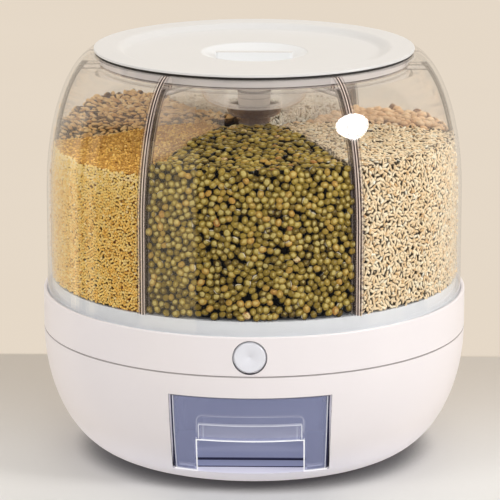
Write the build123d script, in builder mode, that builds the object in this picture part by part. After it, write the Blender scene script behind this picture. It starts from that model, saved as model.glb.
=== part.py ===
from build123d import *
from math import cos, radians, sin, sqrt
import os

# Rotating six-compartment grain dispenser, in millimetres.
# +Z is up, the front with the button and the drawer faces -Y,
# and the origin is the middle of the footprint on the worktop.

# Base: bowl, ring and deck
ring_radius = 132.5
bowl_wall = 2.6
bowl_flat_inset = 48.5
foot_proud = 1.6
seam_height = 80.0
seam_groove = 0.6
seam_groove_depth = 1.0
ring_wall = 2.2
ring_rise = 24.5
ring_edge_round = 0.9
ledge_thickness = 2.0
ledge_width = 5.8
spigot_depth = 4.0
spigot_wall = 2.3
deck_thickness = 2.5
fit_gap = 0.3
run_gap = 0.4
screw_gap = 0.06

# Feet and base screws
foot_count = 4
foot_radius = 9.0
foot_thickness = 3.0
foot_inset = 14.0
side_boss_x = 67.5
side_boss_y = 39.0
rear_boss_x = 50.0
rear_boss_y = 60.0
boss_radius = 5.5
boss_drop = 20.0
boss_seat = 5.6
base_screw_head_radius = 3.5
base_screw_head_height = 2.5
base_screw_radius = 1.8
base_screw_grip = 10.0

# Clear dome and the six-way partition
compartment_count = 6
dome_wall = 2.5
shoulder_rise = 60.5
crown_round = 34.9
dome_rise = 90.0
neck_flare = 2.0
neck_drop = 2.0
neck_height = 7.0
rib_thickness = 1.6
rib_depth = 3.0
divider_wall = 2.0
hub_radius = 16.0
hub_wall = 2.0
hub_drop = 50.5
hub_cap_thickness = 1.8
hub_cap_plug = 3.0
hub_cap_wall = 1.5
cup_relief = 4.0

# Hopper floor and the six funnels under it
tray_rise = 8.0
tray_rim_wall = 2.2
tray_plate = 2.2
seat_drop = 1.3
shell_seat_thickness = 1.0
ridge_half_width = 3.0
funnel_inner_radius = 28.0
funnel_depth = 15.5
funnel_wall = 1.5
outlet_length = 10.0
outlet_inset = 5.0
outlet_side_gap = 28.0
spout_gap = 0.6

# Turntable bearing, axle stud and hub screw
ball_count = 12
ball_radius = 3.0
ball_gap = 0.15
race_inset = 7.8
race_width = 7.0
race_thickness = 2.4
race_web = 2.0
cage_width = 8.0
cage_height = 3.5
stud_radius = 7.0
stud_gap = 0.06
stud_flange_radius = 14.0
stud_flange_thickness = 2.5
stud_proud = 5.5
hub_boss_radius = 12.0
washer_radius = 11.0
washer_thickness = 1.6
hub_screw_head_radius = 5.5
hub_screw_head_height = 3.4
hub_screw_radius = 2.5
hub_screw_grip = 14.0

# Lid with its sunken middle, pinch grip, seals and desiccant cup
lid_overhang = 2.5
lid_rise = 3.0
lid_edge = 1.4
lid_edge_round = 0.6
lid_sunk_depth = 3.6
lid_rim_width = 13.5
lid_slope_width = 8.0
lid_plate = 2.5
gasket_inset = 0.8
skirt_wall = 3.2
skirt_gap = 1.2
skirt_drop = 6.2
seal_bulge = 0.9
seal_height = 2.4
seal_rise = 3.0
grip_dish_radius = 33.5
grip_dish_depth = 8.0
grip_dish_wall = 2.0
grip_bar_length = 48.0
grip_bar_width = 5.5
grip_bar_round = 1.2
cup_radius = 33.0
cup_wall = 1.6
cup_gap = 0.9
cup_depth = 29.0
cup_round = 9.0
cup_step_radius = 17.0
cup_step_depth = 7.5
cup_step_round = 4.0
cup_tip_radius = 10.0
cup_tip_depth = 6.5
cup_tip_round = 3.0
cup_inner_round = 1.0
cup_socket_depth = 4.9
cup_socket_wall = 1.6
cartridge_drop = 9.0
cartridge_top_radius = 11.3
cartridge_foot_radius = 9.5
cartridge_round = 1.5

# Button and its guide
button_rise = 12.0
button_radius = 9.7
button_gap = 0.6
button_inset = 0.1
button_length = 14.3
button_wall = 1.6
button_dish = 1.5
button_edge = 0.9
button_travel = 10.0
lug_reach = 12.0
lug_half_height = 4.0
lug_thickness = 2.0
lug_gap = 1.3
button_rib = 2.4
cheek_wall = 2.1
cheek_height = 15.0
cheek_setback = 2.1

# Measuring gate, its guide and chute
slot_inset = 0.5
slot_half_width = 18.0
gate_thickness = 2.2
gate_half_width = 22.6
gate_window_margin = 1.0
gate_lead = 21.0
gate_neck_half_width = 6.5
gate_trail = 24.0
gate_tab_drop = 10.0
gate_tab_thickness = 2.0
gate_tab_half_width = 6.0
leg_lead = 5.5
leg_half_width = 5.0
leg_thickness = 2.4
leg_rise = 8.0
guide_lead = 20.0
guide_wall = 3.0
guide_ledge = 2.6
guide_ledge_thickness = 2.4
guide_flange_width = 6.0
guide_flange_thickness = 2.2
chute_wall = 1.6
chute_depth = 14.5
chute_half_width = 20.0
chute_margin = 0.5
guide_screw_head_radius = 2.6
guide_screw_head_height = 1.6
guide_screw_radius = 1.2
guide_screw_bite = 2.0
guide_screw_inset = 6.0

# Return spring behind the gate
spring_length = 24.0
spring_radius = 4.0
spring_wire = 0.9
spring_turns = 6
steps_per_turn = 8
spring_end_gap = 0.05
spring_peg_radius = 2.6
spring_peg_length = 3.0
spring_post = 2.0
spring_post_drop = 12.0

# Drawer, its bay and its opening in the bowl
opening_drop = 13.4
opening_bottom = 12.8
opening_bottom_half = 47.4
opening_flare = 1.5
panel_side_gap = 1.2
panel_top_gap = 0.6
panel_thickness = 2.5
drawer_inset = 1.8
drawer_back = 25.0
drawer_wall = 2.0
rim_drop = 4.6
drawer_corner = 6.0
drawer_ride = 0.3
pocket_half_width = 32.0
pocket_inset = 52.5
pocket_top = 37.5
pocket_round = 3.0
pocket_wall = 1.8
bay_wall = 1.6
bay_floor_thickness = 2.2
bay_inset = 37.8
bay_back_gap = 3.8
bay_rib_half_spacing = 29.0
bay_rib_thickness = 2.0
bay_rib_inset = 16.0
sill_gap = 0.8

# Heights and radii of the base that follow from the sizes above
bowl_flat_radius = ring_radius - bowl_flat_inset
bowl_floor = foot_proud + bowl_wall
foot_circle = bowl_flat_radius - foot_inset
boss_top = seam_height - boss_drop
base_screw_seat = boss_top - boss_seat
ring_top = seam_height + ring_rise
ring_inner = ring_radius - ring_wall
ledge_inner = ring_inner - ledge_width
spigot_outer = ring_radius - bowl_wall - fit_gap
ledge_top = seam_height + ledge_thickness
deck_top = ledge_top + deck_thickness
deck_radius = ring_inner - run_gap

# The same for the button, the turntable and the gate
button_height = seam_height + button_rise
button_face = ring_radius - button_inset
button_back = button_face - button_length
button_hole = button_radius + button_gap
notch_back = button_back - button_travel - fit_gap
leg_face = button_back + leg_lead
cheek_top = deck_top + cheek_height
cheek_front = ring_inner - cheek_setback
race_radius = notch_back - race_inset
race_bottom = deck_top + 2 * ball_radius + ball_gap
outlet_far = race_radius - race_width / 2 - outlet_inset
outlet_near = outlet_far - outlet_length
slot_far = outlet_far - slot_inset
slot_near = outlet_near + slot_inset
slot_middle = (slot_near + slot_far) / 2
slot_length = slot_far - slot_near
gate_top = ledge_top - run_gap
gate_bottom = gate_top - gate_thickness
gate_shoulder = slot_far + gate_lead
gate_tail = slot_near - gate_trail
guide_front = slot_far + guide_lead
guide_inner = gate_half_width + run_gap
guide_outer = guide_inner + guide_wall
guide_ledge_top = gate_bottom - run_gap
guide_bottom = guide_ledge_top - guide_ledge_thickness
chute_bottom = guide_ledge_top - chute_depth
spring_height = gate_bottom - spring_wire - spring_radius
spring_fixed_end = gate_tail - spring_length
post_back = spring_fixed_end - spring_post

# The same for the drawer and its bay
opening_top = seam_height - opening_drop
opening_top_half = opening_bottom_half + opening_flare
drawer_half_width = opening_bottom_half - drawer_inset
drawer_rim = opening_top - rim_drop
drawer_floor = opening_bottom + drawer_ride
pocket_back = ring_radius - pocket_inset
bay_front = ring_radius - bay_inset
bay_half_width = drawer_half_width + run_gap
bay_back = drawer_back - bay_wall - bay_back_gap
bay_floor_bottom = opening_bottom - bay_floor_thickness

# The same for the hopper
shell_radius = ring_inner - run_gap
shell_inner = shell_radius - dome_wall
shell_seat = ring_top - seat_drop
dome_shoulder = ring_top + shoulder_rise
dome_crown_radius = shell_radius - crown_round
neck_radius = dome_crown_radius + neck_flare
neck_top = dome_shoulder + dome_rise - neck_drop
neck_bottom = neck_top - neck_height
tray_rim_top = ring_top + tray_rise
tray_outer = shell_inner - fit_gap
tray_inner = tray_outer - tray_rim_wall
tray_bottom = tray_rim_top - tray_plate
mouth_far = tray_inner - fit_gap - funnel_wall
outlet_floor = tray_rim_top - funnel_depth
spout_bottom = deck_top + spout_gap
hub_top = neck_top - hub_drop
hub_boss_bottom = deck_top + stud_flange_thickness + run_gap
stud_top = tray_rim_top + stud_proud
hub_boss_top = stud_top - fit_gap

# The same for the lid and its cup
lid_radius = neck_radius + lid_overhang
lid_top = neck_top + lid_rise
lid_rim_inner_radius = lid_radius - lid_rim_width
lid_sunk_radius = lid_rim_inner_radius - lid_slope_width
lid_sunk_top = lid_top - lid_sunk_depth
lid_sunk_bottom = lid_sunk_top - lid_plate
lid_underside = lid_top - lid_edge
dish_sphere = (grip_dish_radius**2 + grip_dish_depth**2) / (2 * grip_dish_depth)
dish_centre = lid_sunk_top - grip_dish_depth + dish_sphere
skirt_outer = neck_radius - skirt_gap
skirt_bottom = neck_top - skirt_drop
seal_middle = skirt_bottom + seal_rise
cup_top = lid_sunk_bottom - cup_gap
cup_floor = cup_top - cup_depth
cup_step_floor = cup_floor - cup_step_depth
cup_tip_floor = cup_step_floor - cup_tip_depth
cup_relief_radius = cup_radius + cup_relief
cup_socket_bottom = lid_sunk_bottom - cup_socket_depth
cartridge_top = cup_top - cartridge_drop

# Angles and places that repeat
compartment_angle = 360 / compartment_count
compartments = [k * compartment_angle - 90 for k in range(compartment_count)]
dividers = [angle + compartment_angle / 2 for angle in compartments]
boss_places = [
    (side_boss_x, -side_boss_y),
    (-side_boss_x, -side_boss_y),
    (rear_boss_x, rear_boss_y),
    (-rear_boss_x, rear_boss_y),
]
guide_screw_x = guide_outer + guide_flange_width / 2
guide_screw_places = [
    (side * guide_screw_x, -along)
    for side in (-1, 1)
    for along in (guide_front - guide_screw_inset, post_back + guide_screw_inset)
]


# Upright plane that holds the turning axis, moved sideways by shift
def radial_plane(angle, shift=0.0):
    turn = radians(angle)
    plane = Plane(origin=(0, 0, 0), x_dir=(cos(turn), sin(turn), 0), z_dir=(sin(turn), -cos(turn), 0))
    return plane.offset(shift)


# Level plane whose X runs out along the middle of a compartment
def compartment_plane(angle, height):
    turn = radians(angle)
    return Plane(origin=(0, 0, height), x_dir=(cos(turn), sin(turn), 0), z_dir=(0, 0, 1))


# Everything inside the bowl's skin, moved in by inset
def bowl_body(inset):
    with BuildPart() as body:
        with BuildSketch(Plane.XZ):
            with BuildLine():
                side = EllipticalCenterArc(
                    (bowl_flat_radius, seam_height),
                    ring_radius - bowl_flat_radius - inset,
                    seam_height - foot_proud - inset,
                    start_angle=270,
                    arc_size=90,
                )
                Polyline(side @ 1, (0, seam_height), (0, foot_proud + inset), side @ 0)
            make_face()
        revolve(axis=Axis.Z)
    return body.part


# Everything inside the dome's skin, moved in by inset and cut off level at top
def dome_body(inset, top):
    with BuildPart() as body:
        with BuildSketch(Plane.XZ):
            with BuildLine():
                side = EllipticalCenterArc(
                    (dome_crown_radius, dome_shoulder),
                    shell_radius - dome_crown_radius - inset,
                    dome_rise - inset,
                    start_angle=0,
                    arc_size=90,
                )
                Polyline(
                    side @ 1,
                    (0, dome_shoulder + dome_rise - inset),
                    (0, shell_seat),
                    (shell_radius - inset, shell_seat),
                    side @ 0,
                )
            make_face()
            with Locations((0, top)):
                Rectangle(3 * shell_radius, dome_rise, align=(Align.CENTER, Align.MIN), mode=Mode.SUBTRACT)
        revolve(axis=Axis.Z)
    return body.part


# Face between two radii, with sides that run parallel to the dividers beside it
def sector_face(plane, near, far, side_gap):
    half = radians(compartment_angle / 2)
    corners = []
    for radius in (near, far):
        along = sqrt(radius**2 - side_gap**2)
        corners.append((along * cos(half) + side_gap * sin(half), along * sin(half) - side_gap * cos(half)))
    (near_x, near_y), (far_x, far_y) = corners
    with BuildSketch(plane) as outline:
        with BuildLine():
            Line((near_x, -near_y), (far_x, -far_y))
            ThreePointArc((far_x, -far_y), (far, 0), (far_x, far_y))
            Line((far_x, far_y), (near_x, near_y))
            ThreePointArc((near_x, near_y), (near, 0), (near_x, -near_y))
        make_face()
    return outline.sketch.face()


# One funnel with its spout, filled, with its sides and its slope moved out by grow
def funnel_body(angle, grow):
    outlet_sizes = (outlet_near - grow, outlet_far + grow, outlet_side_gap - grow)
    with BuildPart() as body:
        loft(
            [
                sector_face(
                    compartment_plane(angle, tray_bottom),
                    funnel_inner_radius - grow,
                    mouth_far + grow,
                    ridge_half_width - grow,
                ),
                sector_face(compartment_plane(angle, outlet_floor - grow), *outlet_sizes),
            ],
            ruled=True,
        )
        add(sector_face(compartment_plane(angle, spout_bottom), *outlet_sizes))
        extrude(amount=outlet_floor - spout_bottom)
    return body.part


bowl_skin = bowl_body(0)
bowl_space = bowl_body(bowl_wall)
bay_room = bowl_body(bowl_wall + fit_gap)
panel_space = bowl_body(panel_thickness)
dome_skin = dome_body(0, neck_top)
dome_space = dome_body(dome_wall, neck_bottom)
rib_roots = dome_body(dome_wall / 2, neck_bottom + dome_wall / 2)
rib_crests = dome_body(dome_wall + rib_depth, neck_top)
partition_room = dome_body(dome_wall + fit_gap, neck_bottom - fit_gap)

# Bowl: open-topped shell with a flat rest, the drawer opening, its sill and four screw bosses
with BuildPart() as base_bowl:
    add(bowl_skin)
    add(bowl_space, mode=Mode.SUBTRACT)
    with BuildSketch(Plane.XZ.offset(bay_front + sill_gap)):
        with Locations((0, opening_bottom)):
            Rectangle(2 * opening_bottom_half, bay_floor_thickness, align=(Align.CENTER, Align.MAX))
    extrude(amount=ring_radius)
    add(bowl_skin, mode=Mode.INTERSECT)
    with BuildSketch(Plane.XY.offset(bowl_floor)):
        with Locations(boss_places):
            Circle(boss_radius)
    extrude(amount=boss_top - bowl_floor)
    with BuildSketch(Plane.XY.offset(foot_proud)):
        with Locations(boss_places):
            Circle(base_screw_head_radius + fit_gap)
    extrude(amount=base_screw_seat - foot_proud, mode=Mode.SUBTRACT)
    with BuildSketch(Plane.XY.offset(base_screw_seat)):
        with Locations(boss_places):
            Circle(base_screw_radius + fit_gap)
    extrude(amount=boss_seat, mode=Mode.SUBTRACT)
    with BuildSketch(Plane.XY.offset(foot_proud)):
        with PolarLocations(foot_circle, foot_count):
            Circle(foot_radius + fit_gap)
    extrude(amount=foot_thickness - foot_proud, mode=Mode.SUBTRACT)
    with BuildSketch(Plane.XZ.offset(bay_back)):
        with BuildLine():
            Polyline(
                (-opening_bottom_half, opening_bottom),
                (opening_bottom_half, opening_bottom),
                (opening_top_half, opening_top),
                (-opening_top_half, opening_top),
                close=True,
            )
        make_face()
    extrude(amount=ring_radius, mode=Mode.SUBTRACT)

# Ring: upper wall of the base, with the ledge under the deck, a spigot and the button hole
with BuildPart() as base_ring:
    with BuildSketch(Plane.XZ):
        with BuildLine():
            Polyline(
                (ring_radius, seam_height + seam_groove),
                (ring_radius, ring_top),
                (ring_inner, ring_top),
                (ring_inner, ledge_top),
                (ledge_inner, ledge_top),
                (ledge_inner, seam_height),
                (spigot_outer - spigot_wall, seam_height),
                (spigot_outer - spigot_wall, seam_height - spigot_depth),
                (spigot_outer, seam_height - spigot_depth),
                (spigot_outer, seam_height),
                (ring_radius - seam_groove_depth, seam_height),
                (ring_radius - seam_groove_depth, seam_height + seam_groove),
                close=True,
            )
        make_face()
    revolve(axis=Axis.Z)
    fillet(base_ring.edges().group_by(Axis.Z)[-1], ring_edge_round)
    with BuildSketch(Plane.XZ.offset(ledge_inner)):
        with Locations((0, button_height)):
            Circle(button_hole)
    extrude(amount=ring_radius - ledge_inner, mode=Mode.SUBTRACT)

# Deck: closes the base under the turntable, with the outlet slot and a notch for the button
with BuildPart() as deck_plate:
    with BuildSketch(Plane.XY.offset(ledge_top)):
        Circle(deck_radius)
        with Locations((0, -slot_middle)):
            Rectangle(2 * slot_half_width, slot_length, mode=Mode.SUBTRACT)
        with Locations((0, -notch_back)):
            Rectangle(2 * button_hole, ring_radius, align=(Align.CENTER, Align.MAX), mode=Mode.SUBTRACT)
        Circle(stud_radius + stud_gap, mode=Mode.SUBTRACT)
    extrude(amount=deck_thickness)
    with BuildSketch(Plane.XY.offset(boss_top)):
        with Locations(boss_places):
            Circle(boss_radius)
    extrude(amount=ledge_top - boss_top)
    with BuildSketch(Plane.XY.offset(boss_top)):
        with Locations(boss_places):
            Circle(base_screw_radius + screw_gap)
    extrude(amount=base_screw_grip + fit_gap, mode=Mode.SUBTRACT)
    with BuildSketch(Plane.XY.offset(ledge_top)):
        with Locations(guide_screw_places):
            Circle(guide_screw_radius + screw_gap)
    extrude(amount=guide_screw_bite + screw_gap, mode=Mode.SUBTRACT)

# Feet: rubber pads in shallow pockets under the bowl
with BuildPart() as rubber_feet:
    with BuildSketch():
        with PolarLocations(foot_circle, foot_count):
            Circle(foot_radius)
    extrude(amount=foot_thickness)

# Base screws: up through the bowl's bosses into the deck's pillars
with BuildPart() as base_screws:
    with BuildSketch(Plane.XY.offset(base_screw_seat - base_screw_head_height)):
        with Locations(boss_places):
            Circle(base_screw_head_radius)
    extrude(amount=base_screw_head_height)
    with BuildSketch(Plane.XY.offset(base_screw_seat)):
        with Locations(boss_places):
            Circle(base_screw_radius)
    extrude(amount=boss_seat + base_screw_grip)

# Drawer bay: open-topped tray on two ribs, in which the drawer slides
with BuildPart() as drawer_bay:
    with BuildSketch(Plane.XY.offset(bay_floor_bottom)):
        with Locations((0, -bay_back)):
            Rectangle(
                2 * (bay_half_width + bay_wall), bay_front - bay_back, align=(Align.CENTER, Align.MAX)
            )
    extrude(amount=drawer_rim - bay_floor_bottom)
    with BuildSketch(Plane.XY.offset(opening_bottom)):
        with Locations((0, -bay_back - bay_wall)):
            Rectangle(2 * bay_half_width, ring_radius, align=(Align.CENTER, Align.MAX))
    extrude(amount=drawer_rim, mode=Mode.SUBTRACT)
    add(bay_room, mode=Mode.INTERSECT)
    with BuildSketch(Plane.XY.offset(bowl_floor)):
        for side in (-1, 1):
            with Locations((side * bay_rib_half_spacing, -(bay_front + bay_back) / 2)):
                Rectangle(bay_rib_thickness, bay_front - bay_back - 2 * bay_rib_inset)
    extrude(amount=bay_floor_bottom - bowl_floor)

# Front panel of the drawer: a piece of the bowl's own curved skin
with BuildPart() as drawer_panel:
    with BuildSketch(Plane.XZ.offset(drawer_back)):
        with BuildLine():
            Polyline(
                (panel_side_gap - opening_bottom_half, drawer_floor),
                (opening_bottom_half - panel_side_gap, drawer_floor),
                (opening_top_half - panel_side_gap, opening_top - panel_top_gap),
                (panel_side_gap - opening_top_half, opening_top - panel_top_gap),
                close=True,
            )
        make_face()
    extrude(amount=ring_radius)
    add(bowl_skin, mode=Mode.INTERSECT)
    add(panel_space, mode=Mode.SUBTRACT)

# Space inside the drawer's walls, behind the panel
with BuildPart() as drawer_space:
    with BuildSketch(Plane.XY.offset(drawer_floor + drawer_wall)) as space_outline:
        with Locations((0, -drawer_back - drawer_wall)):
            Rectangle(
                2 * (drawer_half_width - drawer_wall), ring_radius, align=(Align.CENTER, Align.MAX)
            )
        fillet(space_outline.vertices().group_by(Axis.Y)[-1], drawer_corner - drawer_wall)
    extrude(amount=drawer_rim)
    add(panel_space, mode=Mode.INTERSECT)

# Finger pocket: the space under the panel's notch, and the same grown by its wall
with BuildPart() as pocket_space:
    with BuildSketch(Plane.XZ.offset(pocket_back)) as pocket_outline:
        with Locations((0, drawer_floor)):
            Rectangle(
                2 * pocket_half_width, pocket_top - drawer_floor, align=(Align.CENTER, Align.MIN)
            )
        fillet(pocket_outline.vertices().group_by(Axis.Y)[-1], pocket_round)
    extrude(amount=ring_radius)

with BuildPart() as pocket_shell:
    with BuildSketch(Plane.XZ.offset(pocket_back - pocket_wall)) as pocket_shell_outline:
        with Locations((0, drawer_floor)):
            Rectangle(
                2 * (pocket_half_width + pocket_wall),
                pocket_top + pocket_wall - drawer_floor,
                align=(Align.CENTER, Align.MIN),
            )
        fillet(pocket_shell_outline.vertices().group_by(Axis.Y)[-1], pocket_round + pocket_wall)
    extrude(amount=ring_radius)
    add(bowl_skin, mode=Mode.INTERSECT)

# Drawer: clear tray behind a panel that lies flush with the bowl, notched by the finger pocket
with BuildPart() as drawer_box:
    with BuildSketch(Plane.XY.offset(drawer_floor)) as drawer_outline:
        with Locations((0, -drawer_back)):
            Rectangle(2 * drawer_half_width, ring_radius, align=(Align.CENTER, Align.MAX))
        fillet(drawer_outline.vertices().group_by(Axis.Y)[-1], drawer_corner)
    extrude(amount=drawer_rim - drawer_floor)
    add(bowl_skin, mode=Mode.INTERSECT)
    add(drawer_space.part, mode=Mode.SUBTRACT)
    add(drawer_panel.part)
    add(pocket_shell.part)
    add(pocket_space.part, mode=Mode.SUBTRACT)

# Gate guide: two channels under the deck, the chute and the post behind the spring
with BuildPart() as gate_guide:
    with BuildSketch(Plane.XZ.offset(post_back)):
        for side in (-1, 1):
            with Locations((side * (guide_inner + guide_wall / 2), guide_bottom)):
                Rectangle(guide_wall, ledge_top - guide_bottom, align=(Align.CENTER, Align.MIN))
            with Locations((side * (guide_inner - guide_ledge / 2), guide_bottom)):
                Rectangle(guide_ledge, guide_ledge_thickness, align=(Align.CENTER, Align.MIN))
            with Locations((side * guide_screw_x, ledge_top)):
                Rectangle(guide_flange_width, guide_flange_thickness, align=(Align.CENTER, Align.MAX))
    extrude(amount=guide_front - post_back)
    with BuildSketch(Plane.XZ.offset(post_back)):
        with Locations((0, ledge_top)):
            Rectangle(2 * guide_outer, spring_post_drop, align=(Align.CENTER, Align.MAX))
    extrude(amount=spring_post)
    with BuildSketch(Plane.XZ.offset(spring_fixed_end)):
        with Locations((0, spring_height)):
            Circle(spring_peg_radius)
    extrude(amount=spring_peg_length)
    with BuildSketch(Plane.XY.offset(chute_bottom)):
        with Locations((0, -slot_middle)):
            Rectangle(
                2 * (chute_half_width + chute_wall), slot_length + 2 * (chute_margin + chute_wall)
            )
    extrude(amount=guide_ledge_top - chute_bottom)
    with BuildSketch(Plane.XY.offset(chute_bottom)):
        with Locations((0, -slot_middle)):
            Rectangle(2 * chute_half_width, slot_length + 2 * chute_margin)
    extrude(amount=ledge_top - chute_bottom, mode=Mode.SUBTRACT)
    with BuildSketch(Plane.XY.offset(guide_bottom)):
        with Locations(guide_screw_places):
            Circle(guide_screw_radius + screw_gap)
    extrude(amount=ledge_top - guide_bottom, mode=Mode.SUBTRACT)

# Guide screws: hold the guide's flanges against the deck
with BuildPart() as guide_screws:
    flange_bottom = ledge_top - guide_flange_thickness
    with BuildSketch(Plane.XY.offset(flange_bottom - guide_screw_head_height)):
        with Locations(guide_screw_places):
            Circle(guide_screw_head_radius)
    extrude(amount=guide_screw_head_height)
    with BuildSketch(Plane.XY.offset(flange_bottom)):
        with Locations(guide_screw_places):
            Circle(guide_screw_radius)
    extrude(amount=guide_flange_thickness + guide_screw_bite)

# Gate: sliding plate whose window meets the outlet slot when the button is pressed
with BuildPart() as gate_plate:
    with BuildSketch(Plane.XY.offset(gate_bottom)):
        with Locations((0, -gate_tail)):
            Rectangle(2 * gate_half_width, gate_shoulder - gate_tail, align=(Align.CENTER, Align.MAX))
            Rectangle(2 * gate_neck_half_width, leg_face - gate_tail, align=(Align.CENTER, Align.MAX))
        with Locations((0, -slot_middle - button_travel)):
            Rectangle(2 * (slot_half_width + gate_window_margin), slot_length, mode=Mode.SUBTRACT)
    extrude(amount=gate_thickness)
    with BuildSketch(Plane.XY.offset(gate_top)):
        with Locations((0, leg_thickness - leg_face)):
            Rectangle(2 * leg_half_width, leg_thickness, align=(Align.CENTER, Align.MAX))
    extrude(amount=leg_rise)
    with BuildSketch(Plane.XY.offset(gate_bottom)):
        with Locations((0, -gate_tail)):
            Rectangle(2 * gate_tab_half_width, gate_tab_thickness, align=(Align.CENTER, Align.MAX))
    extrude(amount=-gate_tab_drop)

# Return spring: one open coil between the guide's post and the gate's tab
coil_radius = spring_radius - spring_wire / 2
coil_start = spring_fixed_end + spring_wire / 2 + spring_end_gap
coil_end = gate_tail - spring_wire / 2 - spring_end_gap


# Point on the coil after a number of steps
def coil_point(step):
    turn = radians(step * 360 / steps_per_turn)
    along = coil_start + (coil_end - coil_start) * step / (steps_per_turn * spring_turns)
    return (coil_radius * cos(turn), -along, spring_height + coil_radius * sin(turn))


with BuildPart() as return_spring:
    with BuildLine() as coil:
        for step in range(0, steps_per_turn * spring_turns, 2):
            ThreePointArc(coil_point(step), coil_point(step + 1), coil_point(step + 2))
    with BuildSketch(Plane(origin=coil.line @ 0, z_dir=coil.line % 0)):
        Circle(spring_wire / 2)
    sweep()

# Button guide: two cheeks and a back stop on the deck
with BuildPart() as button_guide:
    with BuildSketch(Plane.XY.offset(deck_top)):
        with Locations((0, -notch_back + fit_gap)):
            Rectangle(2 * (lug_reach + fit_gap + cheek_wall), cheek_wall, align=(Align.CENTER, Align.MIN))
        for side in (-1, 1):
            with Locations((side * (lug_reach + fit_gap + cheek_wall / 2), -notch_back + fit_gap)):
                Rectangle(cheek_wall, cheek_front - notch_back + fit_gap, align=(Align.CENTER, Align.MAX))
    extrude(amount=cheek_top - deck_top)

# Button: dished cap with side lugs, a slot for the gate's leg and a rib that pushes it
with BuildPart() as button_cap:
    with BuildSketch(Plane.XY.offset(button_height)):
        with BuildLine():
            dish = RadiusArc(
                (0, button_dish - button_face),
                (button_radius - button_edge, -button_face),
                -((button_radius - button_edge) ** 2 + button_dish**2) / (2 * button_dish),
            )
            Polyline(
                dish @ 1,
                (button_radius, button_edge - button_face),
                (button_radius, -button_back),
                (button_radius - button_wall, -button_back),
                (button_radius - button_wall, button_dish + button_wall - button_face),
                (0, button_dish + button_wall - button_face),
                dish @ 0,
            )
        make_face()
    revolve(axis=Axis((0, 0, button_height), (0, 1, 0)))
    with BuildSketch(Plane.XZ.offset(ring_inner - lug_gap - lug_thickness)):
        with Locations((0, button_height)):
            Rectangle(2 * lug_reach, 2 * lug_half_height)
            Circle(button_radius - button_wall / 2, mode=Mode.SUBTRACT)
    extrude(amount=lug_thickness)
    with BuildSketch(Plane.XZ.offset(leg_face)):
        with Locations((0, button_height)):
            Circle(button_radius - button_wall / 2)
            Rectangle(
                4 * button_radius, 2 * button_radius, align=(Align.CENTER, Align.MIN), mode=Mode.SUBTRACT
            )
    extrude(amount=button_rib)
    with BuildSketch(Plane.XZ.offset(button_back)):
        with Locations((0, button_height - button_radius / 2)):
            Rectangle(2 * (leg_half_width + fit_gap), 2 * button_radius, align=(Align.CENTER, Align.MAX))
    extrude(amount=leg_face - button_back, mode=Mode.SUBTRACT)

# Bearing balls on the deck, spaced by their cage
with BuildPart(Plane.XY.offset(deck_top + ball_radius)) as bearing_balls:
    with PolarLocations(race_radius, ball_count):
        Sphere(ball_radius)

with BuildPart() as ball_cage:
    with BuildSketch(Plane.XY.offset(deck_top)):
        Circle(race_radius + cage_width / 2)
        Circle(race_radius - cage_width / 2, mode=Mode.SUBTRACT)
        with PolarLocations(race_radius, ball_count):
            Circle(ball_radius + ball_gap, mode=Mode.SUBTRACT)
    extrude(amount=cage_height)

# Axle stud: spigot in the deck, flange on it, and the post that the hopper turns on
with BuildPart() as axle_stud:
    with BuildSketch(Plane.XY.offset(ledge_top)):
        Circle(stud_radius)
    extrude(amount=stud_top - ledge_top)
    with BuildSketch(Plane.XY.offset(deck_top)):
        Circle(stud_flange_radius)
    extrude(amount=stud_flange_thickness)
    with BuildSketch(Plane.XY.offset(stud_top)):
        Circle(hub_screw_radius + screw_gap)
    extrude(amount=-hub_screw_grip - fit_gap, mode=Mode.SUBTRACT)

# Hub washer and screw: keep the hopper on the stud
with BuildPart() as hub_washer:
    with BuildSketch(Plane.XY.offset(stud_top)):
        Circle(washer_radius)
        Circle(hub_screw_radius + screw_gap, mode=Mode.SUBTRACT)
    extrude(amount=washer_thickness)

with BuildPart() as hub_screw:
    with BuildSketch(Plane.XY.offset(stud_top + washer_thickness)):
        Circle(hub_screw_head_radius)
    extrude(amount=hub_screw_head_height)
    with BuildSketch(Plane.XY.offset(stud_top + washer_thickness)):
        Circle(hub_screw_radius)
    extrude(amount=-washer_thickness - hub_screw_grip)

# Hopper floor: plate with six mouths, a rim inside the dome, a ball race and the hub
with BuildPart() as hopper_floor:
    with BuildSketch(Plane.XZ):
        with Locations((0, tray_bottom)):
            Rectangle(tray_outer, tray_plate, align=(Align.MIN, Align.MIN))
        with Locations((tray_inner, tray_rim_top)):
            Rectangle(
                tray_rim_wall,
                tray_rim_top - shell_seat + shell_seat_thickness,
                align=(Align.MIN, Align.MAX),
            )
        with Locations((tray_inner, shell_seat)):
            Rectangle(shell_radius - tray_inner, shell_seat_thickness, align=(Align.MIN, Align.MAX))
        with Locations((race_radius, race_bottom)):
            Rectangle(race_width, race_thickness, align=(Align.CENTER, Align.MIN))
            Rectangle(race_web, tray_rim_top - race_bottom, align=(Align.CENTER, Align.MIN))
        with Locations((0, hub_boss_bottom)):
            Rectangle(hub_boss_radius, hub_boss_top - hub_boss_bottom, align=(Align.MIN, Align.MIN))
    revolve(axis=Axis.Z)
    for angle in compartments:
        add(
            sector_face(
                compartment_plane(angle, tray_bottom), funnel_inner_radius, mouth_far, ridge_half_width
            )
        )
        extrude(amount=tray_plate, mode=Mode.SUBTRACT)
        add(funnel_body(angle, funnel_wall + fit_gap), mode=Mode.SUBTRACT)
    with BuildSketch(Plane.XY.offset(hub_boss_bottom)):
        Circle(stud_radius + stud_gap)
    extrude(amount=hub_boss_top - hub_boss_bottom, mode=Mode.SUBTRACT)

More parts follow.
